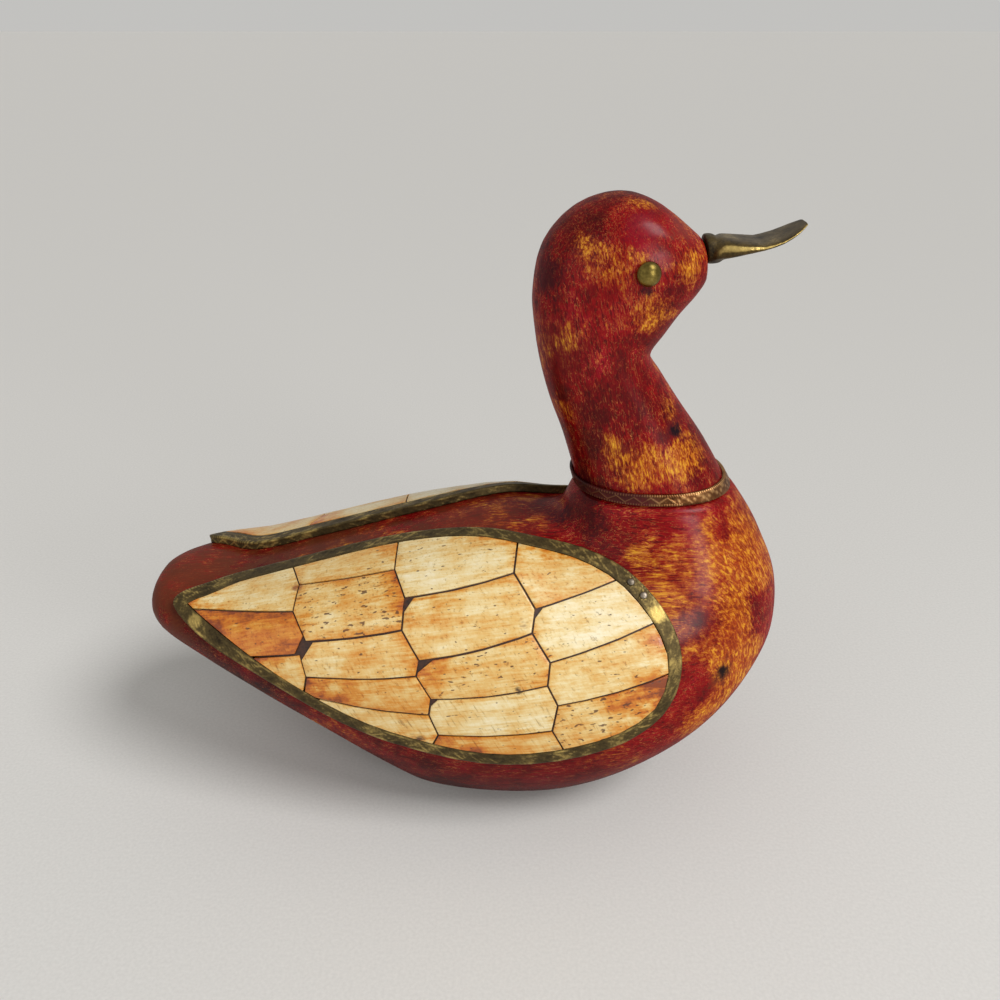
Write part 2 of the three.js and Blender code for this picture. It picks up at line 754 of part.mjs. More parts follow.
const pinAxes = PIN_PLACES.map(pinAxis);
const pinHoles = pinAxes.map((axis) => solid(pinHole(axis))).reduce((a, b) => a.add(b));
const rim = geometryOf(solid(rimGeometry()).subtract(pinHoles));
addNode('wing_rim_right', rim, brass);
addNode('wing_rim_left', mirrored(rim), brass);
pinAxes.forEach((axis, k) => {
  const pin = geometryOf(solid(pinGeometry(axis)));
  addNode('rim_pin_right_' + (k + 1), pin, brass);
  addNode('rim_pin_left_' + (k + 1), mirrored(pin), brass);
});

// Bone tiles: three crooked seams down the wing, and the rows between them, in per cent of the wing.
const seamTail = [[-5, 300], [-5, 2], [-5, -59], [-5, -250]];
const seamRear = [[21, 95], [26, 59.5], [25.5, 43], [28.5, 30], [27.3, 23.5], [28.4, 13.3], [27.6, 1.8]];
const seamMiddle = [
  [45.5, 95], [45.2, 66.3], [47.5, 54], [47, 42], [50.3, 31.6],
  [49.7, 25.8], [52.4, 17.5], [51.9, 10.5], [53.6, 2], [50, -15],
];
const seamFront = [
  [70, 95], [68, 63.4], [71.9, 51.2], [71.3, 43.3], [74.7, 33.7],
  [74.3, 25.6], [76.3, 18.2], [75.4, 8.1], [80.8, -12],
];
const seamBreast = [[105, 130], [105, 68.2], [105, 46.8], [105, 25.1], [105, -40]];
const wingFloor = [[20, -60], [27.6, -40]];

const tileCells = [
  [seamTail[0], seamRear[0], seamRear[1], seamRear[2], seamTail[1]],
  [seamTail[1], seamRear[2], seamRear[3], seamRear[4], seamTail[2]],
  [seamTail[2], seamRear[4], seamRear[5], seamRear[6], wingFloor[0], seamTail[3]],
  [seamRear[0], seamMiddle[0], seamMiddle[1], seamRear[1]],
  [seamRear[1], seamMiddle[1], seamMiddle[2], seamMiddle[3], seamRear[3], seamRear[2]],
  [seamRear[3], seamMiddle[3], seamMiddle[4], seamMiddle[5], seamRear[5], seamRear[4]],
  [seamRear[5], seamMiddle[5], seamMiddle[6], seamMiddle[7], seamRear[6]],
  [seamRear[6], seamMiddle[7], seamMiddle[8], seamMiddle[9], wingFloor[1]],
  [seamMiddle[0], seamFront[0], seamFront[1], seamMiddle[2], seamMiddle[1]],
  [seamMiddle[2], seamFront[1], seamFront[2], seamFront[3], seamMiddle[4], seamMiddle[3]],
  [seamMiddle[4], seamFront[3], seamFront[4], seamFront[5], seamMiddle[6], seamMiddle[5]],
  [seamMiddle[6], seamFront[5], seamFront[6], seamFront[7], seamMiddle[8], seamMiddle[7]],
  [seamMiddle[8], seamFront[7], seamFront[8], seamMiddle[9]],
  [seamFront[0], seamBreast[0], seamBreast[1], seamFront[2], seamFront[1]],
  [seamFront[2], seamBreast[1], seamBreast[2], seamFront[4], seamFront[3]],
  [seamFront[4], seamBreast[2], seamBreast[3], seamFront[6], seamFront[5]],
  [seamFront[6], seamBreast[3], seamBreast[4], seamFront[8], seamFront[7]],
];

function tileOutline(cell) {
  const corners = cell.map((corner) => wingPlace(corner[0] / 100, corner[1] / 100));
  const polygon = trimmedToCell(insetOutline(RIM_WIDTH + GAP), corners, TILE_JOINT / 2);
  return polygon.filter((point, k) => point.distanceTo(polygon[(k + 1) % polygon.length]) > 0.2);
}

tileCells.forEach((cell, k) => {
  const number = String(k + 1).padStart(2, '0');
  const tile = bentPlate(tileOutline(cell), tileFloor, wingTop);
  addNode('tile_right_' + number, tile, bone);
  addNode('tile_left_' + number, mirrored(tile), bone);
});

// Body, cut flat for the floor.
function bodyGeometry() {
  const stations = 44;
  const around = 36;
  const rings = [];
  for (let i = 1; i < stations; i += 1) {
    const x = -CHEST_X * Math.cos((Math.PI * i) / stations);
    const angles = Array.from({ length: around }, (unused, k) => (2 * Math.PI * k) / around);
    rings.push(angles.map((angle) => bodyPoint(x, angle)));
  }
  const tail = new THREE.Vector3(TAIL_X, 0, TAIL_TIP * BACK_HEIGHT);
  const chest = new THREE.Vector3(CHEST_X, 0, CHEST_TIP * BACK_HEIGHT);
  return skin(rings, tail, chest);
}

// Round the neck the body swells up to a flat seat, which is the neck's foot with a ledge round it.
function swellGeometry() {
  const around = 44;
  const steps = 6;
  const root = 0.5;
  const depth = SEAT_HEIGHT / 4;
  const ringAt = (share, drop) => Array.from({ length: around }, (unused, k) => {
    const angle = (2 * Math.PI * k) / around;
    const ahead = THREE.MathUtils.smoothstep(Math.cos(angle), -0.35, 0.5);
    const limit = THREE.MathUtils.lerp(SWELL_BACK, SWELL_FRONT, ahead);
    const reach = THREE.MathUtils.lerp(limit, 1, share);
    const x = NECK_X + seatHalfLength * reach * squared(Math.cos(angle), NECK_ROUNDNESS);
    const y = seatHalfWidth * reach * squared(Math.sin(angle), NECK_ROUNDNESS);
    return new THREE.Vector3(x, y, THREE.MathUtils.lerp(backHeight(x, y) - drop, SEAT_HEIGHT, share * share));
  });
  const rings = [ringAt(0, depth)];
  for (let i = 0; i <= steps; i += 1) {
    rings.push(ringAt(i / steps, root));
  }
  return skin(rings, centreOf(rings[0]), centreOf(rings[steps + 1]));
}

const floorBlock = new THREE.BoxGeometry(2 * BODY_LENGTH, 2 * BODY_WIDTH, BACK_HEIGHT);
floorBlock.translate(0, 0, -BACK_HEIGHT / 2);
const body = solid(bodyGeometry())
  .add(solid(swellGeometry()))
  .subtract(solid(floorBlock))
  .subtract(solid(dowelHole))
  .subtract(pinHoles)
  .subtract(solid(mirrored(geometryOf(pinHoles))));
addNode('body', geometryOf(body), paintedWood);

export default duck;
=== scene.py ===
# %% [markdown]
# # A carved duck with bone wings
# The duck is an ornament from a craft workshop: two blocks of wood carved, doweled together, painted red
# and gold and rubbed back, with a brass bill, brass tacks for eyes, a brass strip round the neck, and
# wings of cut bone set in dark mastic inside a folded brass rim.
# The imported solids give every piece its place. Each one is dressed here in turn.

# %% Load the frame
import math
import bpy
import bmesh
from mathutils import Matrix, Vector, kdtree


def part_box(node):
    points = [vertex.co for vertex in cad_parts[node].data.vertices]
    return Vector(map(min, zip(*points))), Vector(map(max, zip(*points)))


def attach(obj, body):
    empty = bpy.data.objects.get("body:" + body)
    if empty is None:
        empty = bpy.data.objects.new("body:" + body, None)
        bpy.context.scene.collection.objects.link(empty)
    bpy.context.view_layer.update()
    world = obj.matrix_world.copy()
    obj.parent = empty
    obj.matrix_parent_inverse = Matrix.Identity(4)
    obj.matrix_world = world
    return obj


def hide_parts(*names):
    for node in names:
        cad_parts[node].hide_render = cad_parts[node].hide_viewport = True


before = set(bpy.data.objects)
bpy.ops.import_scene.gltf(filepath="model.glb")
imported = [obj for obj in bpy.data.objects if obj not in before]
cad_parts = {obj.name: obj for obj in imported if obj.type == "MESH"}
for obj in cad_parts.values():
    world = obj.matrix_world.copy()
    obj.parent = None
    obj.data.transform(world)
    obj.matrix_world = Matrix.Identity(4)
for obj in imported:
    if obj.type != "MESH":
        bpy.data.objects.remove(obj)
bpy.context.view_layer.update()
MM = 0.001
print("solids loaded:", len(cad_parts))

# %% [markdown]
# ## Small helpers
# Colours are written as they look on a screen, so one function turns them to the linear values that
# shading needs. Every edit starts from a clean selection, because an operator acts on all that is
# selected. One function adds any node of a material, and one joins the results in a shader.

# %% Helpers
def linear(code):
    parts = [int(code[k:k + 2], 16) / 255 for k in (0, 2, 4)]
    return [c / 12.92 if c <= 0.04045 else ((c + 0.055) / 1.055) ** 2.4 for c in parts] + [1.0]


def choose(piece):
    bpy.ops.object.select_all(action="DESELECT")
    piece.select_set(True)
    bpy.context.view_layer.objects.active = piece


def modify(piece, kind, **settings):
    choose(piece)
    modifier = piece.modifiers.new(kind.title(), kind)
    for name, value in settings.items():
        setattr(modifier, name, value)
    bpy.ops.object.modifier_apply(modifier=modifier.name)


def dress(node, name):
    """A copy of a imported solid, with its corners joined, that stands for it."""
    piece = bpy.data.objects.new(name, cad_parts[node].data.copy())
    bpy.context.collection.objects.link(piece)
    piece.data.materials.clear()
    choose(piece)
    bpy.ops.object.mode_set(mode="EDIT")
    bpy.ops.mesh.select_all(action="SELECT")
    bpy.ops.mesh.remove_doubles(threshold=0.00001)
    bpy.ops.mesh.tris_convert_to_quads(face_threshold=0.6, shape_threshold=0.8)
    bpy.ops.object.mode_set(mode="OBJECT")
    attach(piece, "root")
    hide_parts(node)
    return piece


def smooth(piece, degrees=180):
    choose(piece)
    bpy.ops.object.shade_smooth_by_angle(angle=math.radians(degrees))


def clamped(value, least=0.0):
    return max(least, min(1.0, value))


def remember(piece, name, values):
    """Keeps one number per corner of the mesh, for the material to read."""
    attribute = piece.data.attributes.new(name, "FLOAT", "POINT")
    attribute.data.foreach_set("value", values)


def add(tree, kind, links=None, out=0, stops=(), **settings):
    """Adds a node, sets it, links what feeds it, and gives back its output."""
    node = tree.nodes.new("ShaderNode" + kind)
    for name, value in settings.items():
        setattr(node, name, value)
    for name, value in (links or {}).items():
        if isinstance(value, bpy.types.NodeSocket):
            tree.links.new(value, node.inputs[name])
        else:
            node.inputs[name].default_value = value
    for k, (place, code) in enumerate(stops):
        element = node.color_ramp.elements[k] if k < 2 else node.color_ramp.elements.new(place)
        element.position = place
        element.color = linear(code)
    return node.outputs[out]


def new_material(name):
    material = bpy.data.materials.new(name)
    material.use_nodes = True
    material.node_tree.nodes.clear()
    return material, material.node_tree


def finish_material(tree, bump, bump_mm, strength, links, **sockets):
    """Joins colour, roughness and relief in one shader."""
    shader = tree.nodes.new("ShaderNodeBsdfPrincipled")
    for name, value in sockets.items():
        shader.inputs[name.replace("_", " ")].default_value = value
    for name, value in links.items():
        tree.links.new(value, shader.inputs[name])
    relief = add(tree, "Bump", {"Height": bump, "Distance": bump_mm * MM, "Strength": strength})
    tree.links.new(relief, shader.inputs["Normal"])
    output = tree.nodes.new("ShaderNodeOutputMaterial")
    tree.links.new(shader.outputs[0], output.inputs[0])


print("helpers ready")


# %% [markdown]
# ## Camera
# The photo looks down at the right side of the duck from about a third of a metre, as a phone does.

# %% Camera
camera_data = bpy.data.cameras.new("camera")
camera_data.lens = 34.2
camera_data.sensor_width = 36
camera_data.clip_start = 0.01
camera = bpy.data.objects.new("camera", camera_data)
camera.location = (0.0125, -0.2985, 0.2621)
camera.rotation_euler = (math.radians(63), 0, 0)
bpy.context.collection.objects.link(camera)
bpy.context.scene.camera = camera
print("camera at", tuple(camera.location))

# %% [markdown]
# ## Light
# The photo was taken by daylight from the front right. A wide sun gives that light and its soft shadow.
# A small lamp near the same direction leaves the spot of shine that a window leaves on lacquer and brass,
# and a large weak lamp fills the other side. Where the camera and mirrors see the world it is as bright as
# the floor, so that no horizon shows. As a light it is dimmer.

# %% Light
WORLD_LIGHT = 0.4
WORLD_SEEN = 0.61


def place_light(name, data, place, target):
    item = bpy.data.objects.new(name, data)
    item.location = place
    item.rotation_euler = (Vector(target) - Vector(place)).to_track_quat("-Z", "Y").to_euler()
    bpy.context.collection.objects.link(item)


def lamp(name, place, target, size, watts):
    data = bpy.data.lights.new(name, "AREA")
    data.size = size
    data.energy = watts
    place_light(name, data, place, target)


def sun(name, place, spread, strength):
    data = bpy.data.lights.new(name, "SUN")
    data.angle = math.radians(spread)
    data.energy = strength
    place_light(name, data, place, (0, 0, 0))


sun("daylight", (0.5, -0.34, 0.7), spread=24, strength=1.75)
lamp("window", (0.45, -0.58, 0.32), target=(0.06, 0, 0.14), size=0.2, watts=1.5)
lamp("front_fill", (-0.45, -0.7, 0.45), target=(0, 0, 0.08), size=0.8, watts=1.1)

bpy.context.scene.view_settings.view_transform = "Standard"
world = bpy.data.worlds.new("studio")
bpy.context.scene.world = world
world.use_nodes = True
tree = world.node_tree
seen = add(tree, "LightPath", out="Is Camera Ray")
mirrored = add(tree, "LightPath", out="Is Glossy Ray")
through = add(tree, "LightPath", out="Is Transmission Ray")
shown = add(tree, "Math", {0: seen, 1: through}, operation="MAXIMUM")
shown = add(tree, "Math", {0: shown, 1: mirrored}, operation="MAXIMUM")
level = add(tree, "Math", {0: shown, 1: WORLD_SEEN - WORLD_LIGHT, 2: WORLD_LIGHT}, operation="MULTIPLY_ADD")
tree.nodes["Background"].inputs["Color"].default_value = linear("F2F1EE")
tree.links.new(level, tree.nodes["Background"].inputs["Strength"])
print("sun, lamps and world set")

# %% [markdown]
# ## Floor
# A sheet of pale paper, so wide that its far edge is lost in the background. It isn't part of the duck.

# %% Floor
FLOOR_SIZE = 40
bpy.ops.object.select_all(action="DESELECT")
bpy.ops.mesh.primitive_plane_add(size=FLOOR_SIZE)
floor = bpy.context.object
floor.name = "floor"
material, tree = new_material("pale paper")
place = add(tree, "TexCoord", out="Object")
# paper fibres 1.1 mm apart
fibre = add(tree, "TexNoise", {"Vector": place, "Scale": 900, "Detail": 3})
tone = add(tree, "ValToRGB", {"Fac": fibre}, stops=[(0.3, "D6D4D0"), (0.7, "DEDCD8")])
finish_material(tree, fibre, 0.05, 0.2, {"Base Color": tone}, Roughness=0.9)
floor.data.materials.append(material)
print("floor", FLOOR_SIZE, "m wide")

# %% [markdown]
# ## Painted wood
# The real finish is several coats: gold ochre below, crimson and maroon above, rubbed through along the
# grain with wire wool and sealed with a satin lacquer. The eye sees fine lines along the grain, thin curls
# of bare undercoat, gold patches with ragged edges, and a few dark knots.
# The lines come first. They are noise drawn out along the grain of each block. At the breast the carving
# cuts across the grain, so there a second set takes over, which follows the curve of the front.

# %% Grain lines
FIBRE = {"Scale": 1500, "Detail": 3, "Roughness": 0.65, "Distortion": 0.7}
CURL = {"Scale": 1050, "Detail": 2, "Distortion": 0.6}
BREAST_STRETCH = (0.3, 1, 0.24)


def grain_lines(tree, place, ahead, turn, stretch):
    """Fibre lines 0.7 mm apart and curls of undercoat 1 mm apart, both some 3 to 6 mm long."""
    lane = add(tree, "Mapping", {"Vector": place, "Rotation": (0, math.radians(turn), 0)})
    ways = [add(tree, "Mapping", {"Vector": lane, "Scale": (stretch, 1, 1)})]
    if ahead is not None:
        ways.append(add(tree, "Mapping", {"Vector": place, "Scale": BREAST_STRETCH}))
    fibres = []
    curls = []
    for way in ways:
        fibres.append(add(tree, "TexNoise", {"Vector": way, **FIBRE}))
        # a curl lies where the noise crosses its middle value
        curl = add(tree, "TexNoise", {"Vector": way, **CURL})
        curl = add(tree, "Math", {0: curl, 1: 0.5}, operation="SUBTRACT")
        curl = add(tree, "Math", {0: curl}, operation="ABSOLUTE")
        curls.append(add(tree, "MapRange", {0: curl, 1: 0.004, 2: 0.017, 3: 1.0, 4: 0.0}))
    if ahead is None:
        return fibres[0], curls[0]
    fibre = add(tree, "Mix", {0: ahead, 2: fibres[0], 3: fibres[1]})
    curl = add(tree, "Mix", {0: ahead, 2: curls[0], 3: curls[1]})
    return fibre, curl


print("grain lines ready")

# %% [markdown]
# The two coats are ramps of colour over clouds and lines. The gold shows where a sum of clouds, lines and
# chosen places is high enough, so its edge is ragged by itself. Both sides of the duck are rubbed at the
# same places, because the places are compared with the position on the right side only.

# %% Coats of paint
RED = [(0.3, "2C0203"), (0.72, "9C0C28"), (0.42, "5A0407"), (0.54, "84080C")]
OCHRE = [(0.34, "8C2C0C"), (0.7, "DEA834"), (0.46, "AE5412"), (0.57, "CA8420")]
BELLY_SHADE = (12, 48)
TAIL_SHADE_SPAN = (-60, 70)


def red_coat(tree, patch, mottle, fibre, along):
    """Crimson to maroon. On the body, where along is given, painted shade darkens it towards the tail."""
    start = -0.05 if along is None else 0.0
    depth = add(tree, "Math", {0: mottle, 1: 0.6, 2: start}, operation="MULTIPLY_ADD")
    depth = add(tree, "Math", {0: patch, 1: 0.5, 2: depth}, operation="MULTIPLY_ADD")
    if along is not None:
        tail, breast = TAIL_SHADE_SPAN
        # painted shade: the red darkens towards the tail
        tail_shade = add(tree, "MapRange", {0: along, 1: tail * MM, 2: breast * MM, 3: -0.12, 4: 0.0})
        depth = add(tree, "Math", {0: depth, 1: tail_shade}, operation="ADD")
    red = add(tree, "ValToRGB", {"Fac": depth}, stops=RED)
    gap = add(tree, "MapRange", {0: fibre, 1: 0.38, 2: 0.48, 3: 0.65, 4: 0.0})
    return add(tree, "Mix", {0: gap, 6: red, 7: linear("2C0405")}, out=2, data_type="RGBA")


def ochre_coat(tree, mottle, fibre):
    warm = add(tree, "Math", {0: fibre, 1: 0.55, 2: -0.03}, operation="MULTIPLY_ADD")
    warm = add(tree, "Math", {0: mottle, 1: 0.5, 2: warm}, operation="MULTIPLY_ADD")
    return add(tree, "ValToRGB", {"Fac": warm}, stops=OCHRE)


def rubbed_gold(tree, axes, field, gold_places):
    """0 where the red stayed, 1 where it was rubbed through."""
    along, aside, up = axes
    side = add(tree, "Math", {0: aside}, operation="ABSOLUTE")
    side = add(tree, "Math", {0: side, 1: -1.0}, operation="MULTIPLY")
    both = add(tree, "CombineXYZ", {0: along, 1: side, 2: up})
    for x, y, z, radius, weight in gold_places:
        middle = (x * MM, y * MM, z * MM)
        gone = add(tree, "VectorMath", {0: both, 1: middle}, operation="DISTANCE", out="Value")
        near = add(
            tree, "MapRange", {0: gone, 1: 0.0, 2: radius * MM, 3: weight, 4: 0.0},
            interpolation_type="SMOOTHSTEP",
        )
        field = add(tree, "Math", {0: field, 1: near}, operation="ADD")
    return add(
        tree, "MapRange", {0: field, 1: 1.31, 2: 1.62, 3: 0.0, 4: 1.0}, interpolation_type="SMOOTHSTEP",
    )


def with_marks(tree, place, mottle, fibre, colour, marks_and_shade):
    """Knots, dark or worn places and painted shade, each with an edge that the clouds and lines make ragged.
    """
    for x, y, z, radius, code, strength in marks_and_shade:
        middle = (x * MM, y * MM, z * MM)
        size = radius * MM
        gone = add(tree, "VectorMath", {0: place, 1: middle}, operation="DISTANCE", out="Value")
        gone = add(tree, "Math", {0: mottle, 1: size * 3.0, 2: gone}, operation="MULTIPLY_ADD")
        gone = add(tree, "Math", {0: fibre, 1: size * 1.5, 2: gone}, operation="MULTIPLY_ADD")
        near = add(
            tree, "MapRange", {0: gone, 1: size * 2.6, 2: size * 3.5, 3: strength, 4: 0.0},
            interpolation_type="SMOOTHSTEP",
        )
        colour = add(tree, "Mix", {0: near, 6: colour, 7: linear(code)}, out=2, data_type="RGBA")
    return colour


print("coats of red and ochre ready")

# %% [markdown]
# Now the coats are put over each other: red, gold where it was rubbed, curls of undercoat, bruises, knots
# and painted shade, and on the body painted shade on the belly. All the gloss comes from the lacquer, so it
# is a coat on a matt base.

# %% Painted wood material
def painted_wood(name, turn, stretch, front, gold_places, marks_and_shade):
    material, tree = new_material(name)
    place = add(tree, "TexCoord", out="Object")
    axes = [add(tree, "SeparateXYZ", {0: place}, out=axis) for axis in "XYZ"]
    along = axes[0]
    up = axes[2]
    # clouds of colour, 30 mm and 8 mm across
    patch = add(tree, "TexNoise", {"Vector": place, "Scale": 33, "Detail": 2})
    mottle = add(tree, "TexNoise", {"Vector": place, "Scale": 125, "Detail": 6, "Roughness": 0.7})
    ahead = None
    if front:
        ahead = add(tree, "Math", {0: mottle, 1: 0.05, 2: along}, operation="MULTIPLY_ADD")
        ahead = add(tree, "MapRange", {0: ahead, 1: front[0] * MM, 2: front[1] * MM})
    fibre, curl = grain_lines(tree, place, ahead, turn, stretch)
    field = add(tree, "Math", {0: patch, 1: mottle}, operation="ADD")
    field = add(tree, "Math", {0: fibre, 1: 0.4, 2: field}, operation="MULTIPLY_ADD")
    gold = rubbed_gold(tree, axes, field, gold_places)
    lines = add(tree, "MapRange", {0: fibre, 1: 0.49, 2: 0.58})
    cover = add(tree, "Math", {0: lines, 1: 0.6, 2: 0.4}, operation="MULTIPLY_ADD")
    cover = add(tree, "Math", {0: cover, 1: gold}, operation="MULTIPLY")
    red = red_coat(tree, patch, mottle, fibre, along if front else None)
    ochre = ochre_coat(tree, mottle, fibre)
    colour = add(tree, "Mix", {0: cover, 6: red, 7: ochre}, out=2, data_type="RGBA")
    bare = add(tree, "MapRange", {0: mottle, 1: 0.38, 2: 0.62, 3: 0.12, 4: 0.72})
    bare = add(tree, "Math", {0: curl, 1: bare}, operation="MULTIPLY")
    colour = add(tree, "Mix", {0: bare, 6: colour, 7: linear("CE7C42")}, out=2, data_type="RGBA")
    # bruises 14 mm across
    bruise = add(tree, "TexNoise", {"Vector": place, "Scale": 70, "Detail": 5, "Roughness": 0.6})
    bruise = add(tree, "MapRange", {0: bruise, 1: 0.58, 2: 0.72, 3: 0.0, 4: 0.3})
    darker = linear("780A1C" if front else "340812")
    colour = add(tree, "Mix", {0: bruise, 6: colour, 7: darker}, out=2, data_type="RGBA")
    colour = with_marks(tree, place, mottle, fibre, colour, marks_and_shade)
    if front:
        # painted shade on the belly, darkest at the bottom
        low = add(tree, "MapRange", {0: up, 1: BELLY_SHADE[0] * MM, 2: BELLY_SHADE[1] * MM, 3: 0.85, 4: 0.0})
        colour = add(tree, "Mix", {0: low, 6: colour, 7: linear("2E0304")}, out=2, data_type="RGBA")
    gloss = add(tree, "MapRange", {0: patch, 1: 0.3, 2: 0.7, 3: 0.3, 4: 0.42})
    relief = add(tree, "Math", {0: mottle, 1: 0.8, 2: fibre}, operation="MULTIPLY_ADD")
    relief = add(tree, "Math", {0: curl, 1: 0.3, 2: relief}, operation="MULTIPLY_ADD")
    finish_material(
        tree, relief, 0.2, 0.4, {"Base Color": colour, "Roughness": gloss},
        Specular_IOR_Level=0.0, Coat_Weight=0.27, Coat_Roughness=0.27,
    )
    print(name, "nodes:", len(tree.nodes))
    return material


# %% [markdown]
# The gold patches and the knots are given in millimetres. A gold place is a point, a radius and a
# weight, and a weight below zero keeps the red. A mark is a point, a radius, a colour and a strength.

# %% Paint for the two blocks
body_paint = painted_wood(
    "rubbed red and gold paint on the body", turn=0, stretch=0.12, front=(90, 122),
    gold_places=[
        (98, -15, 100, 28, 0.6), (92, -32, 83, 11, 0.5), (94, -34, 66, 22, 0.5), (80, -24, 111, 6, 0.3),
        (58, -26, 103, 6, 0.45), (74, -38, 84, 34, 0.34), (46, -51, 38, 22, 0.15), (80, -42, 50, 20, 0.4),
        (-45, -2, 93, 24, 0.15), (20, -6, 106, 22, 0.2), (60, -30, 104, 26, 0.14), (40, -12, 112, 14, -0.35),
        (0, -46, 22, 46, -0.4), (76, -45, 63, 11, -0.35), (-104, -6, 82, 26, -0.2), (66, -44, 78, 10, -0.12),
    ],
    marks_and_shade=[
        (87.4, -40, 65.7, 5.0, "6A3018", 0.75), (87.4, -40, 66, 3.2, "1A0A08", 1.0),
        # this line is painted shade where the back meets the neck
        (40, -12, 113, 10, "2E060C", 0.6), (34, -4, 106, 6, "3A0A1C", 0.5),
        (-98, -6, 80, 28, "6A3018", 0.75), (-50, -4, 92, 26, "66301A", 0.6),
        (0, -6, 101, 20, "6A3018", 0.5),
    ],
)
neck_paint = painted_wood(
    "rubbed red and gold paint on the neck", turn=104, stretch=0.2, front=None,
    gold_places=[
        (75, -14, 134, 14, 0.45), (68, -13, 149, 10, 0.35), (56, -19, 132, 14, 0.34),
        (46, -17, 139, 11, 0.26), (37, -14, 203, 10, 0.3), (44, -18, 196, 13, 0.22),
        (60, -16, 181, 12, 0.36), (69, -14, 194, 10, 0.3), (56, -8, 213, 7, 0.4), (33, -12, 150, 10, 0.26),
        (46, -2, 214, 12, 0.25), (50, -17, 162, 18, -0.24), (35, -13, 186, 16, -0.1),
        (57, -13, 206, 10, -0.4), (40, -10, 124, 13, -0.4),
    ],
    marks_and_shade=[
        (69.8, -13.7, 142.2, 4.4, "5A1418", 0.75), (69.8, -13.7, 142.2, 2.6, "1A0810", 1.0),
        (56.8, -18.6, 188.8, 2.6, "300A12", 0.9), (66, -10.5, 205.5, 5, "7A342C", 0.55),
        # the next two lines are painted shade: at the foot of the neck, behind the head and down the back of
        # the neck
        (44, -12, 122, 9, "30060A", 0.6), (27, -8, 192, 9, "380A16", 0.6),
        (34, -12, 168, 14, "460608", 0.45), (52, -17, 160, 14, "4E0507", 0.4),
        (51, -17, 137, 3.2, "6A1A12", 0.8), (54, -14, 206, 6, "8A0C26", 0.4),
    ],
)

# %% [markdown]
# ## Body and neck
# The solids of the two blocks are facetted. A fine voxel remesh followed by smoothing takes the facets
# off as sandpaper would, and a thin swelling gives back what the smoothing took. The tail of the body was
# sanded least, so it stays crisper than the rest.

# %% Body and neck
LEAST_SANDING = 0.06
SHOULDER = Vector((34, 0, 108)) * MM
SHOULDER_REACH = 12 * MM


def sanded(node, name, voxel, rounds, swell, paint, crisp=None):
    piece = dress(node, name)
    modify(piece, "REMESH", mode="VOXEL", voxel_size=voxel * MM)
    group = piece.vertex_groups.new(name="rounded")
    for vertex in piece.data.vertices:
        share = 1.0 if crisp is None else (vertex.co.x / MM - crisp[0]) / (crisp[1] - crisp[0])
        group.add([vertex.index], clamped(share, LEAST_SANDING), "REPLACE")
    modify(piece, "SMOOTH", factor=0.5, iterations=rounds, vertex_group="rounded")
    piece.vertex_groups.clear()
    modify(piece, "DISPLACE", strength=swell * MM, mid_level=0.0)
    piece.data.materials.append(paint)
    smooth(piece)
    print(name, "faces:", len(piece.data.polygons))
    return piece


body = sanded(
    "body", "carved_body", voxel=1.4, rounds=26, swell=0.3, paint=body_paint, crisp=(-106, -40),
)
# the shoulder behind the neck flows up to the band without a step
group = body.vertex_groups.new(name="shoulder")
for vertex in body.data.vertices:
    gone = (vertex.co - SHOULDER).length
    group.add([vertex.index], clamped(2 - gone / SHOULDER_REACH), "REPLACE")
modify(body, "SMOOTH", factor=0.5, iterations=60, vertex_group="shoulder")
body.vertex_groups.clear()
# smoothing swells the underside, so it is cut flat again at the floor
choose(body)
bpy.ops.object.mode_set(mode="EDIT")
bpy.ops.mesh.select_all(action="SELECT")
bpy.ops.mesh.bisect(plane_co=(0, 0, 0), plane_no=(0, 0, 1), clear_inner=True, use_fill=True)
bpy.ops.object.mode_set(mode="OBJECT")
sanded("neck_and_head", "carved_neck_and_head", voxel=0.9, rounds=16, swell=0.1, paint=neck_paint)

# %% [markdown]
# ## Aged brass
# Rolled brass strip and cast brass go olive brown with age and stay bright where they are rubbed. The
# strip was rolled with a milled edge on each side and a zigzag vein between. That pattern is raised in the
# mesh, and its height is kept there as a number, so that the brass can be brighter on its tops.

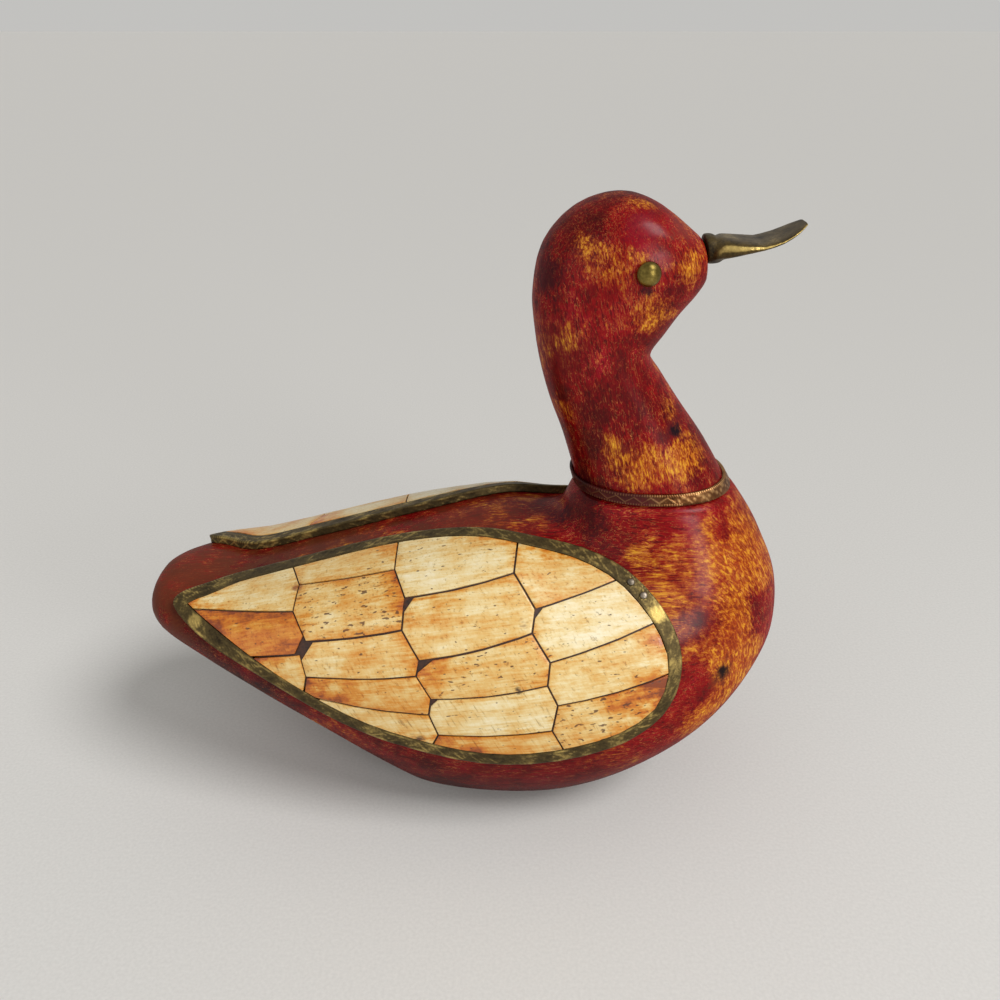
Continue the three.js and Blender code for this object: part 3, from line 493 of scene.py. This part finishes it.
# %% Brass material
def aged_brass(
    name, shades, rough, metallic=1.0, dented=0.6, strip=None, painted=None, painted_sheen=False, bright_places=(),
):
    material, tree = new_material(name)
    place = add(tree, "TexCoord", out="Object")
    # stains 8 mm across and pits of 0.6 mm
    patina = add(tree, "TexNoise", {"Vector": place, "Scale": 125, "Detail": 5, "Roughness": 0.65})
    pits = add(tree, "TexNoise", {"Vector": place, "Scale": 1600, "Detail": 3})
    height = add(tree, "Math", {0: pits, 1: 0.3}, operation="MULTIPLY")
    level = add(tree, "Math", {0: pits, 1: 0.3, 2: -0.15}, operation="MULTIPLY_ADD")
    level = add(tree, "Math", {0: patina, 1: level}, operation="ADD")
    if painted_sheen:
        # painted highlight on rounded edges that face sideways and a little up, with hammer dents 1.4 mm
        # across
        edge = add(tree, "Attribute", attribute_name="painted_sheen", out="Fac")
        # painted shade darkens the brass near the root of the bill
        root = add(tree, "Attribute", attribute_name="root", out="Fac")
        level = add(tree, "Math", {0: root, 1: -0.08, 2: level}, operation="MULTIPLY_ADD")
        dents = add(tree, "TexVoronoi", {"Vector": place, "Scale": 700}, feature="SMOOTH_F1")
        dents = add(tree, "Math", {0: dents, 1: edge}, operation="MULTIPLY")
        height = add(tree, "Math", {0: dents, 1: 0.8, 2: height}, operation="MULTIPLY_ADD")
        level = add(tree, "Math", {0: edge, 1: 0.42, 2: level}, operation="MULTIPLY_ADD")
    if strip:
        # the rolled pattern stands up, and its tops are rubbed bright
        raised = add(tree, "Attribute", attribute_name="raised", out="Fac")
        level = add(tree, "Math", {0: raised, 1: strip, 2: level}, operation="MULTIPLY_ADD")
    for x, y, z, radius, weight in bright_places:
        middle = (x * MM, y * MM, z * MM)
        gone = add(tree, "VectorMath", {0: place, 1: middle}, operation="DISTANCE", out="Value")
        gone = add(tree, "Math", {0: patina, 1: radius * MM, 2: gone}, operation="MULTIPLY_ADD")
        near = add(tree, "MapRange", {0: gone, 1: radius * MM, 2: 1.6 * radius * MM, 3: weight, 4: 0.0})
        level = add(tree, "Math", {0: level, 1: near}, operation="ADD")
    dark, middling, bright = shades
    colour = add(tree, "ValToRGB", {"Fac": level}, stops=[(0.3, dark), (0.95, bright), (0.58, middling)])
    gloss = add(tree, "MapRange", {0: level, 1: 0.35, 2: 0.95, 3: rough + 0.2, 4: rough})
    links = {"Base Color": colour, "Roughness": gloss}
    if painted:
        # the red paint ran over the back of the strip, and stayed thinner on the raised pattern
        spread = add(tree, "SeparateXYZ", {0: place})
        cover = add(tree, "Math", {0: patina, 1: -0.04, 2: spread}, operation="MULTIPLY_ADD")
        cover = add(tree, "MapRange", {0: cover, 1: painted[0] * MM, 2: painted[1] * MM, 3: 1.0, 4: 0.0})
        kept = add(tree, "MapRange", {0: raised, 1: 0.4, 2: 1.0, 3: 1.0, 4: 0.7})
        cover = add(tree, "Math", {0: cover, 1: kept}, operation="MULTIPLY")
        red = add(tree, "ValToRGB", {"Fac": patina}, stops=[(0.35, "260706"), (0.65, "4E120E")])
        links["Base Color"] = add(tree, "Mix", {0: cover, 6: colour, 7: red}, out=2, data_type="RGBA")
        links["Metallic"] = add(tree, "Math", {0: 1.0, 1: cover}, operation="SUBTRACT")
        finish_material(tree, height, 0.3, 0.6, links, Specular_IOR_Level=0.2)
    else:
        finish_material(tree, height, 0.3, dented, links, Metallic=metallic)
    return material


cast_brass = aged_brass("cast aged brass", ("1E160A", "5C4A22", "C8AC64"), 0.32, metallic=0.65, painted_sheen=True)
tack_brass = aged_brass("polished tack brass", ("4A3E1C", "84723A", "CCB874"), 0.17, dented=0.1)
pin_metal = aged_brass("nickelled pins", ("4A443A", "857A6C", "C0B4A4"), 0.28, dented=0.2)
rim_brass = aged_brass(
    "rolled brass rim strip", ("2C2210", "5A4B2A", "C8AC62"), 0.4, metallic=0.75, strip=0.3,
    bright_places=[(63.5, -41, 89.4, 3.4, 0.4), (-90.5, -31.3, 80.2, 3.0, 0.35), (68, -48, 70, 10, 0.12)],
)
band_brass = aged_brass(
    "rolled brass neck band", ("321A0E", "70482A", "BE9260"), 0.36, strip=0.5, painted=(38, 48),
)
print("brass made")

# %% [markdown]
# ## Wing rims
# The rim is a strip folded to an L. Its fold is found as the longest ring of sharp edges that lies
# furthest out from the middle of the body. How far along the fold a corner of the mesh is, and how far
# from it, then tells how high the rolled pattern stands there.

# %% The fold of a rim
# a fold turns by more than this, in radians
SHARP = 0.9
LEAST_RING = 40
# the middle of the body, from which outward and inward are told
HUB = Vector((0, 0, 50 * MM))


def fold_line(piece):
    mesh = bmesh.new()
    mesh.from_mesh(piece.data)
    near = {}
    for edge in mesh.edges:
        if len(edge.link_faces) == 2 and edge.calc_face_angle() > SHARP:
            a, b = edge.verts
            near.setdefault(a, []).append(b)
            near.setdefault(b, []).append(a)
    rings = []
    seen = set()
    for start in near:
        ring = []
        onward = [start]
        while onward and onward[0] not in seen:
            ring.append(onward[0])
            seen.add(onward[0])
            onward = [v for v in near[onward[0]] if v not in seen]
        if len(ring) > LEAST_RING and all(len(near[v]) == 2 for v in ring):
            rings.append([v.co.copy() for v in ring])
    mesh.free()
    return max(rings, key=lambda ring: sum(math.hypot(p.y, p.z - HUB.z) for p in ring) / len(ring))


def way_along(piece, line):
    """How far along the fold each corner of the mesh is, and how far from it."""
    lengths = [0.0]
    for k, point in enumerate(line):
        lengths.append(lengths[-1] + (line[(k + 1) % len(line)] - point).length)
    ways = []
    for vertex in piece.data.vertices:
        best = (1.0, 0.0)
        for k, point in enumerate(line):
            step = line[(k + 1) % len(line)] - point
            share = clamped((vertex.co - point).dot(step) / step.length_squared)
            gone = (vertex.co - point - step * share).length
            if gone < best[0]:
                best = (gone, lengths[k] + share * step.length)
        ways.append((best[1] / MM, best[0] / MM))
    return ways


print("a fold is sharper than", round(math.degrees(SHARP)), "degrees")

# %% [markdown]
# The pattern is raised in the mesh, so the strip is first divided finely. Its folds are creased, which
# keeps them sharp through the subdivision. The sizes of the pattern are in millimetres.

# %% Wing rims
EDGE_BAND = 0.9
TOOTH_RISE = 0.3
VEIN_MARGIN = 1.1
VEIN_HALF_WIDTH = 0.55
CREASE = 0.85


def rolled(along, across, width, tooth, vein):
    """Height of the rolled pattern, 0 to 1: teeth at both edges, a zigzag vein between."""
    from_edge = min(across, width - across)
    if from_edge < EDGE_BAND:
        return (0.5 + 0.5 * math.sin(2 * math.pi * along / tooth)) * clamped(from_edge / TOOTH_RISE)
    swing = abs((along / vein) % 2 - 1)
    middle = VEIN_MARGIN + (width - 2 * VEIN_MARGIN) * swing
    return max(0.0, 1.0 - abs(across - middle) / VEIN_HALF_WIDTH)


def creased(piece):
    crease = piece.data.attributes.new("crease_edge", "FLOAT", "EDGE")
    mesh = bmesh.new()
    mesh.from_mesh(piece.data)
    mesh.edges.ensure_lookup_table()
    values = [CREASE if e.is_manifold and e.calc_face_angle() > SHARP else 0.0 for e in mesh.edges]
    mesh.free()
    crease.data.foreach_set("value", values)


def emboss(piece, ways, width, tooth, vein, depth, wear):
    """Raises the pattern, worn down in places, and keeps its height for the brass to read."""
    heights = []
    normals = [vertex.normal.copy() for vertex in piece.data.vertices]
    for vertex, normal, (along, across) in zip(piece.data.vertices, normals, ways):
        worn = 0.5 + 0.5 * math.sin(along * 0.13 + 2.1 * math.sin(along * 0.047))
        height = rolled(along, across, width, tooth, vein) * (1.0 - wear * worn)
        vertex.co += normal * height * depth * MM
        heights.append(height)
    remember(piece, "raised", heights)


for side in ("right", "left"):
    rim = dress("wing_rim_" + side, "brass_rim_" + side)
    line = fold_line(rim)
    creased(rim)
    modify(rim, "SUBSURF", levels=3, render_levels=3)
    emboss(rim, way_along(rim, line), width=4.5, tooth=1.1, vein=3.0, depth=0.16, wear=0.6)
    rim.data.materials.append(rim_brass)
    smooth(rim, 50)
    print("rim", side, "faces", len(rim.data.polygons))

# %% [markdown]
# ## Neck band
# A narrower strip of the same kind goes round the seam of the neck. Its way along is an angle about the
# neck, and its way across is its height. It is cut into fine slices first, so that its teeth are real.

# %% Neck band
TEETH = 170
VEINS = 52
band = dress("neck_band", "brass_neck_band")
creased(band)
modify(band, "SUBSURF", levels=2, render_levels=2)
choose(band)
bpy.ops.object.mode_set(mode="EDIT")
mesh = bmesh.from_edit_mesh(band.data)
low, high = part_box("neck_band")
middle = (low + high) / 2
for edge in mesh.edges:
    step = edge.verts[1].co - edge.verts[0].co
    spoke = edge.verts[0].co - middle
    spoke.z = 0
    level = abs(step.z) < 0.1 * step.length
    edge.select = level and abs(step.dot(spoke)) < 0.6 * step.length * spoke.length
bmesh.update_edit_mesh(band.data)
bpy.ops.mesh.subdivide(number_cuts=4)
mesh = bmesh.from_edit_mesh(band.data)
for edge in mesh.edges:
    step = edge.verts[1].co - edge.verts[0].co
    edge.select = abs(step.z) > 0.9 * step.length and step.length > 0.5 * MM
bmesh.update_edit_mesh(band.data)
bpy.ops.mesh.subdivide(number_cuts=3)
bpy.ops.object.mode_set(mode="OBJECT")
around = math.pi * ((high.x - low.x) + (high.y - low.y)) / 2
ways = []
for vertex in band.data.vertices:
    turn = math.atan2(vertex.co.y - middle.y, middle.x - vertex.co.x) / (2 * math.pi)
    ways.append((around / MM * (turn + 1), (vertex.co.z - low.z) / MM))
emboss(
    band, ways, width=(high.z - low.z) / MM, tooth=around / MM / TEETH, vein=around / MM / VEINS,
    depth=0.18, wear=0.2,
)
band.data.materials.append(band_brass)
smooth(band, 50)
print("band round the neck", round(around / MM), "mm, faces", len(band.data.polygons))

# %% [markdown]
# ## Bill
# The bill is a casting, so its corners are soft: a fine remesh and some smoothing round them. Its paddle
# thickens towards the root until it meets the collar. Two numbers are kept for the brass: how near the
# root a corner is, for painted shade there, and how much it faces sideways and a little up, for a painted
# highlight along its rounded edges.

# %% Bill
PADDLE_LENGTH = 27 * MM
SLICE = 0.5 * MM
ROOT_DROP = 0.4 * MM
ROOT_SLOPE = 0.09
FLOWING_REACH = 6 * MM
bill = dress("bill", "cast_bill")
modify(bill, "REMESH", mode="VOXEL", voxel_size=0.3 * MM)
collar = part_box("bill")[1].x - PADDLE_LENGTH
lowest = {}
highest = {}
for vertex in bill.data.vertices:
    cut = round(vertex.co.x / SLICE)
    lowest[cut] = min(vertex.co.z, lowest.get(cut, 1.0))
    highest[cut] = max(vertex.co.z, highest.get(cut, 0.0))
shoulder = highest[round((collar - 2 * MM) / SLICE)] - ROOT_DROP
for vertex in bill.data.vertices:
    cut = round(vertex.co.x / SLICE)
    slope = shoulder - ROOT_SLOPE * (vertex.co.x - collar)
    if vertex.co.x > collar - MM and slope > highest[cut]:
        vertex.co.z += (vertex.co.z - lowest[cut]) * (slope - highest[cut]) / (highest[cut] - lowest[cut])
group = bill.vertex_groups.new(name="flowing")
for vertex in bill.data.vertices:
    near = 1.0 - abs(vertex.co.x - collar) / FLOWING_REACH
    group.add([vertex.index], clamped(2 * near, 0.03), "REPLACE")
modify(bill, "SMOOTH", factor=0.5, iterations=80, vertex_group="flowing")
bill.vertex_groups.clear()
# painted shade near the root, and a painted highlight on the edges that face sideways and a little up
root_shades = []
painted_sheens = []
for vertex in bill.data.vertices:
    root = clamped((collar + 2 * MM - vertex.co.x) / (3 * MM))
    sideways = abs(vertex.normal.y) - 1.5 * max(0.0, -vertex.normal.z - 0.55)
    turned = 1.0 - abs(vertex.normal.z - 0.3) / 0.5
    root_shades.append(root)
    painted_sheens.append((1 - root) * clamped(sideways / 0.35 - 1) * clamped(2 * turned))
remember(bill, "root", root_shades)
remember(bill, "painted_sheen", painted_sheens)
bill.data.materials.append(cast_brass)
smooth(bill)
print("bill faces:", len(bill.data.polygons))

# %% [markdown]
# ## Eyes and pins
# The eyes are domed tacks and the rims are held by small pins. Their heads were turned or pressed, so
# subdivision rounds them. The shanks stay hidden in the wood.

# %% Eyes and pins
for side in ("right", "left"):
    eye = dress("eye_" + side, "tack_eye_" + side)
    modify(eye, "SUBSURF", levels=3, render_levels=3)
    eye.data.materials.append(tack_brass)
    smooth(eye)
    for number in ("1", "2"):
        pin = dress("rim_pin_" + side + "_" + number, "pin_" + side + "_" + number)
        modify(pin, "SUBSURF", levels=2, render_levels=2)
        pin.data.materials.append(pin_metal)
        smooth(pin)
print("eyes and pins made")

# %% [markdown]
# ## Dark mastic
# The tiles are bedded in a dark brown mastic that is scraped off nearly level with them. The bed is
# raised until it fills the joints.

# %% Mastic
mastic, tree = new_material("dark brown mastic")
place = add(tree, "TexCoord", out="Object")
# grit 1.1 mm across
grit = add(tree, "TexNoise", {"Vector": place, "Scale": 900, "Detail": 4})
tone = add(tree, "ValToRGB", {"Fac": grit}, stops=[(0.3, "1E0E08"), (0.75, "4A2816")])
finish_material(tree, grit, 0.2, 0.5, {"Base Color": tone}, Roughness=0.55)

MASTIC_RISE = 1.75 * MM


def corners_facing(bed, way):
    """Corners of the faces that look out from the middle of the body, way 1, or in, way -1."""
    corners = set()
    for face in bed.data.polygons:
        spoke = face.center - HUB
        if way * face.normal.dot(spoke) > 0.3 * spoke.length:
            corners.update(face.vertices)
    return corners


for side in ("right", "left"):
    bed = dress("wing_bed_" + side, "mastic_bed_" + side)
    group = bed.vertex_groups.new(name="top")
    group.add(sorted(corners_facing(bed, 1) - corners_facing(bed, -1)), 1.0, "REPLACE")
    modify(bed, "DISPLACE", strength=MASTIC_RISE, mid_level=0.0, vertex_group="top")
    bed.data.materials.append(mastic)
    smooth(bed, 40)
print("mastic beds raised by", MASTIC_RISE / MM, "mm")

# %% [markdown]
# ## Bone
# Each tile is a slice of shin bone, sawn, sanded and waxed. It is cream where it is dense and ochre where
# fat and dye went in, with fine slanting saw lines, small dark pores and a brown edge beside the mastic.
# One material serves all tiles. Numbers kept on each tile say how dark, how spotted and where stained.
# Its patterns come first, shifted by a number of the tile's own, so that no two tiles are alike.

# %% Bone patterns
bone, tree = new_material("waxed bone")
place = add(tree, "TexCoord", out="Object")
tone = add(tree, "Attribute", attribute_name="tone", out="Fac")
stain = add(tree, "Attribute", attribute_name="stain", out="Fac")
spots = add(tree, "Attribute", attribute_name="spots", out="Fac")
rim_edge = add(tree, "Attribute", attribute_name="rim_edge", out="Fac")
seed = add(tree, "Attribute", attribute_name="seed", out="Fac")
shift = add(tree, "CombineXYZ", {"X": seed, "Y": seed, "Z": seed})
own = add(tree, "VectorMath", {0: place, 1: shift}, operation="ADD")
# clouds 11 mm across, saw lines 0.8 mm apart across the tile, fibres 0.7 mm apart along it, pores of 1 mm
cloud = add(tree, "TexNoise", {"Vector": own, "Scale": 90, "Detail": 6, "Roughness": 0.62})
slant = add(tree, "Mapping", {"Vector": own, "Rotation": (0, math.radians(30), 0)})
slant = add(tree, "Mapping", {"Vector": slant, "Scale": (1.0, 1.0, 0.12)})
saw = add(tree, "TexNoise", {"Vector": slant, "Scale": 1250, "Detail": 3, "Roughness": 0.6})
level_way = add(tree, "Mapping", {"Vector": own, "Rotation": (0, math.radians(8), 0)})
length = add(tree, "Mapping", {"Vector": level_way, "Scale": (0.1, 1.0, 1.0)})
fibre = add(tree, "TexNoise", {"Vector": length, "Scale": 1400, "Detail": 4, "Roughness": 0.65})
dash = add(tree, "Mapping", {"Vector": level_way, "Scale": (0.45, 1.0, 1.0)})
pore = add(tree, "TexNoise", {"Vector": dash, "Scale": 980, "Detail": 1.5, "Roughness": 0.5})
# streaks of old fat 3 mm wide and 28 mm long
streak = add(tree, "TexNoise", {"Vector": length, "Scale": 350, "Detail": 4, "Roughness": 0.6})
print("bone patterns made")

# %% [markdown]
# The colour follows one level, from cream to brown. Clouds, streaks, saw lines and fibres move it a little,
# and the stain and the brown edge move it more.

# %% Bone colour
level = add(tree, "MapRange", {0: cloud, 1: 0.3, 2: 0.7, 3: -0.15, 4: 0.17})
level = add(tree, "Math", {0: tone, 1: level}, operation="ADD")
bands = add(tree, "MapRange", {0: streak, 1: 0.35, 2: 0.65, 3: -0.08, 4: 0.1})
level = add(tree, "Math", {0: level, 1: bands}, operation="ADD")
ragged = add(tree, "Math", {0: streak, 1: 0.5, 2: cloud}, operation="MULTIPLY_ADD")
soaked = add(tree, "MapRange", {0: ragged, 1: 0.58, 2: 0.9, 3: 0.06, 4: 0.44})
level = add(tree, "Math", {0: stain, 1: soaked, 2: level}, operation="MULTIPLY_ADD")
level = add(tree, "Math", {0: saw, 1: 0.26, 2: level}, operation="MULTIPLY_ADD")
level = add(tree, "Math", {0: fibre, 1: 0.3, 2: level}, operation="MULTIPLY_ADD")
level = add(tree, "Math", {0: rim_edge, 1: 0.1, 2: level}, operation="MULTIPLY_ADD")
level = add(tree, "Math", {0: level, 1: 0.28}, operation="SUBTRACT")
colour = add(
    tree, "ValToRGB", {"Fac": level},
    stops=[
        (0.02, "EFE3C2"), (0.98, "803606"), (0.2, "E6D09A"), (0.38, "DCB46A"), (0.56, "D08A2C"),
        (0.76, "BC640C"),
    ],
)
print("bone colours set")

# %% [markdown]
# Pores, scored fibres and deep saw lines are dark and lie lower. A few single spots and burns are listed in
# millimetres, and wax gives the whole a soft gloss.

# %% Bone pores and finish
BURNS = [
    # point, radius, colour
    (18.6, -54.3, 68.8, 1.5, "24120A"), (-14.5, -54.3, 48.6, 3.0, "3A1E0E"),
    (-56, -25.8, 90.3, 2.6, "8A4A1C"), (-46, -36, 86, 1.2, "2A160C"),
    (20, -44, 88, 2.2, "7A4A20"), (36, -50, 72, 1.6, "5A3216"),
]
limit = add(tree, "Math", {0: spots, 1: -0.14, 2: 0.76}, operation="MULTIPLY_ADD")
dark = add(tree, "Math", {0: pore, 1: limit}, operation="SUBTRACT")
dark = add(tree, "MapRange", {0: dark, 1: 0.0, 2: 0.04, 3: 0.0, 4: 0.85})
scored = add(tree, "MapRange", {0: fibre, 1: 0.62, 2: 0.7, 3: 0.0, 4: 0.55})
scored = add(tree, "Math", {0: scored, 1: spots}, operation="MULTIPLY")
sawn = add(tree, "MapRange", {0: saw, 1: 0.6, 2: 0.7, 3: 0.0, 4: 0.4})
dark = add(tree, "Math", {0: dark, 1: scored}, operation="MAXIMUM")
dark = add(tree, "Math", {0: dark, 1: sawn}, operation="MAXIMUM")
colour = add(tree, "Mix", {0: dark, 6: colour, 7: linear("50290E")}, out=2, data_type="RGBA")
for x, y, z, radius, code in BURNS:
    middle = (x * MM, y * MM, z * MM)
    gone = add(tree, "VectorMath", {0: place, 1: middle}, operation="DISTANCE", out="Value")
    gone = add(tree, "Math", {0: pore, 1: radius * MM * 2.2, 2: gone}, operation="MULTIPLY_ADD")
    near = add(tree, "MapRange", {0: gone, 1: radius * MM * 1.2, 2: radius * MM * 2.0, 3: 0.9, 4: 0.0})
    colour = add(tree, "Mix", {0: near, 6: colour, 7: linear(code)}, out=2, data_type="RGBA")
gloss = add(tree, "MapRange", {0: cloud, 1: 0.3, 2: 0.7, 3: 0.28, 4: 0.42})
relief = add(tree, "Math", {0: dark, 1: -1.5, 2: saw}, operation="MULTIPLY_ADD")
relief = add(tree, "Math", {0: fibre, 1: 0.8, 2: relief}, operation="MULTIPLY_ADD")
finish_material(
    tree, relief, 0.1, 0.4, {"Base Color": colour, "Roughness": gloss},
    Coat_Weight=0.2, Coat_Roughness=0.18, IOR=1.5,
)
print("waxed bone, nodes:", len(tree.nodes))

# %% [markdown]
# ## Bone tiles
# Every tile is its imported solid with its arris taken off. The table gives, from the tail to the breast,
# how dark each tile is, how spotted, and its stain: which end it starts from and how far it reaches.
# A few corners were chipped in the cutting, and the mastic filled them.

# %% Looks of the tiles
TILES = [
    # darkness, spots, stain towards tail or breast, stain down or up, reach of the stain
    (0.28, 0.2, -1.0, -0.2, 0.4), (0.66, 0.5, -0.8, 0.5, 0.5), (0.38, 0.3, -0.6, 0.4, 0.45),
    (0.3, 0.4, 0.0, 1.0, 0.2), (0.4, 1.0, 1.0, 0.3, 0.2), (0.3, 0.35, 1.0, 0.0, 0.2),
    (0.44, 0.3, -1.0, -0.2, 0.5), (0.26, 0.25, 1.0, -1.0, 0.2), (0.22, 0.55, 0.0, 1.0, 0.2),
    (0.31, 0.4, -0.7, 0.7, 0.35), (0.34, 0.7, -0.7, 0.3, 0.4), (0.2, 0.55, 0.5, -0.5, 0.2),
    (0.42, 0.3, -0.6, -0.2, 0.5), (0.32, 0.2, 0.2, 1.0, 0.4), (0.16, 0.35, -0.7, -0.5, 0.15),
    (0.28, 0.5, 1.0, 0.0, 0.35), (0.36, 0.95, 0.9, 0.5, 0.6),
]
CHIPS = {
    # tile: corner in mm, lean of the break along and up, depth in mm
    2: (-52.0, -43.5, 78.0, 0.85, -0.5, 1.7), 10: (-17.6, -38.2, 92.8, -0.75, 0.65, 1.3),
    15: (23.8, -42.2, 91.2, -0.7, 0.7, 1.4), 11: (-13.6, -50.4, 74.4, -0.6, 0.8, 0.5),
    12: (-9.6, -53.6, 64.0, -0.7, 0.7, 1.0), 6: (-51.5, -44.5, 77.4, -0.8, 0.6, 1.0),
    17: (29.4, -53.6, 66.0, -0.7, 0.7, 0.9),
}
print("tiles a side:", len(TILES), "of them chipped:", len(CHIPS))

# %% [markdown]
# A chip is cut off by a plane that leans along the face of the tile. Then the edges are bevelled and the
# faces divided, so that the mesh has enough corners to keep the stain and the brown edge on.

# %% Bone tiles
ARRIS = 0.3 * MM
EDGE_REACH = 2.5 * MM


def chip_corner(tile, side, number, out):
    x, y, z, ahead, upward, depth = CHIPS[number]
    corner = Vector((x, y if side == "right" else -y, z)) * MM
    lean = Vector((ahead, 0, upward))
    lean = (lean - out * lean.dot(out)).normalized()
    bpy.ops.object.mode_set(mode="EDIT")
    bpy.ops.mesh.select_all(action="SELECT")
    bpy.ops.mesh.bisect(plane_co=corner - lean * depth * MM, plane_no=lean, clear_outer=True, use_fill=True)
    bpy.ops.object.mode_set(mode="OBJECT")


def walls_of(tile, out):
    """A search tree of the corners on the side walls of a tile."""
    walls = kdtree.KDTree(sum(len(face.vertices) for face in tile.data.polygons))
    for face in tile.data.polygons:
        if abs(face.normal.dot(out)) < 0.45:
            for k in face.vertices:
                walls.insert(tile.data.vertices[k].co, k)
    walls.balance()
    return walls


def bone_tile(side, number, look, seed_value):
    name = "tile_" + side + "_" + str(number).zfill(2)
    tile = dress(name, "bone_" + name)
    low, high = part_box(name)
    middle = (low + high) / 2
    half = (high - low) / 2
    out = Vector((0, middle.y, middle.z - HUB.z)).normalized()
    choose(tile)
    if number in CHIPS:
        chip_corner(tile, side, number, out)
    modify(tile, "BEVEL", width=ARRIS, segments=2, limit_method="ANGLE", angle_limit=math.radians(50))
    bpy.ops.object.mode_set(mode="EDIT")
    bpy.ops.mesh.select_all(action="SELECT")
    bpy.ops.mesh.subdivide(number_cuts=2)
    bpy.ops.object.mode_set(mode="OBJECT")
    darkness, spots, ahead, upward, reach = look
    walls = walls_of(tile, out)
    stains = []
    edges = []
    for vertex in tile.data.vertices:
        off = vertex.co - middle
        lean = (ahead * off.x / half.x + upward * off.z / half.z) / math.hypot(ahead, upward)
        stains.append(clamped((lean - 1.0 + 2.0 * reach) / 0.7))
        gap = walls.find(vertex.co)[2]
        edges.append(max(0.0, 1.0 - (gap or 0.0) / EDGE_REACH))
    remember(tile, "stain", stains)
    remember(tile, "rim_edge", edges)
    count = len(tile.data.vertices)
    remember(tile, "tone", [darkness] * count)
    remember(tile, "spots", [spots] * count)
    remember(tile, "seed", [seed_value] * count)
    tile.data.materials.append(bone)
    smooth(tile, 35)


for k, look in enumerate(TILES):
    bone_tile("right", k + 1, look, 0.13 * k)
    bone_tile("left", k + 1, TILES[(5 * k + 2) % len(TILES)], 3.0 + 0.17 * k)
print("bone tiles made:", 2 * len(TILES))

# %% [markdown]
# ## Dowel
# The dowel is hidden in the seam. It is plain beech, so its solid stays and gets a bare wood finish.

# %% Dowel
beech, tree = new_material("bare beech")
place = add(tree, "TexCoord", out="Object")
# grain lines 1.2 mm apart and 16 mm long
lane = add(tree, "Mapping", {"Vector": place, "Scale": (1.0, 1.0, 0.08)})
grain = add(tree, "TexNoise", {"Vector": lane, "Scale": 800, "Detail": 3})
tone = add(tree, "ValToRGB", {"Fac": grain}, stops=[(0.3, "A87A48"), (0.7, "C9A06C")])
finish_material(tree, grain, 0.1, 0.3, {"Base Color": tone}, Roughness=0.7)
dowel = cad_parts["neck_dowel"]
dowel.data.materials.clear()
dowel.data.materials.append(beech)
print("dowel finished")
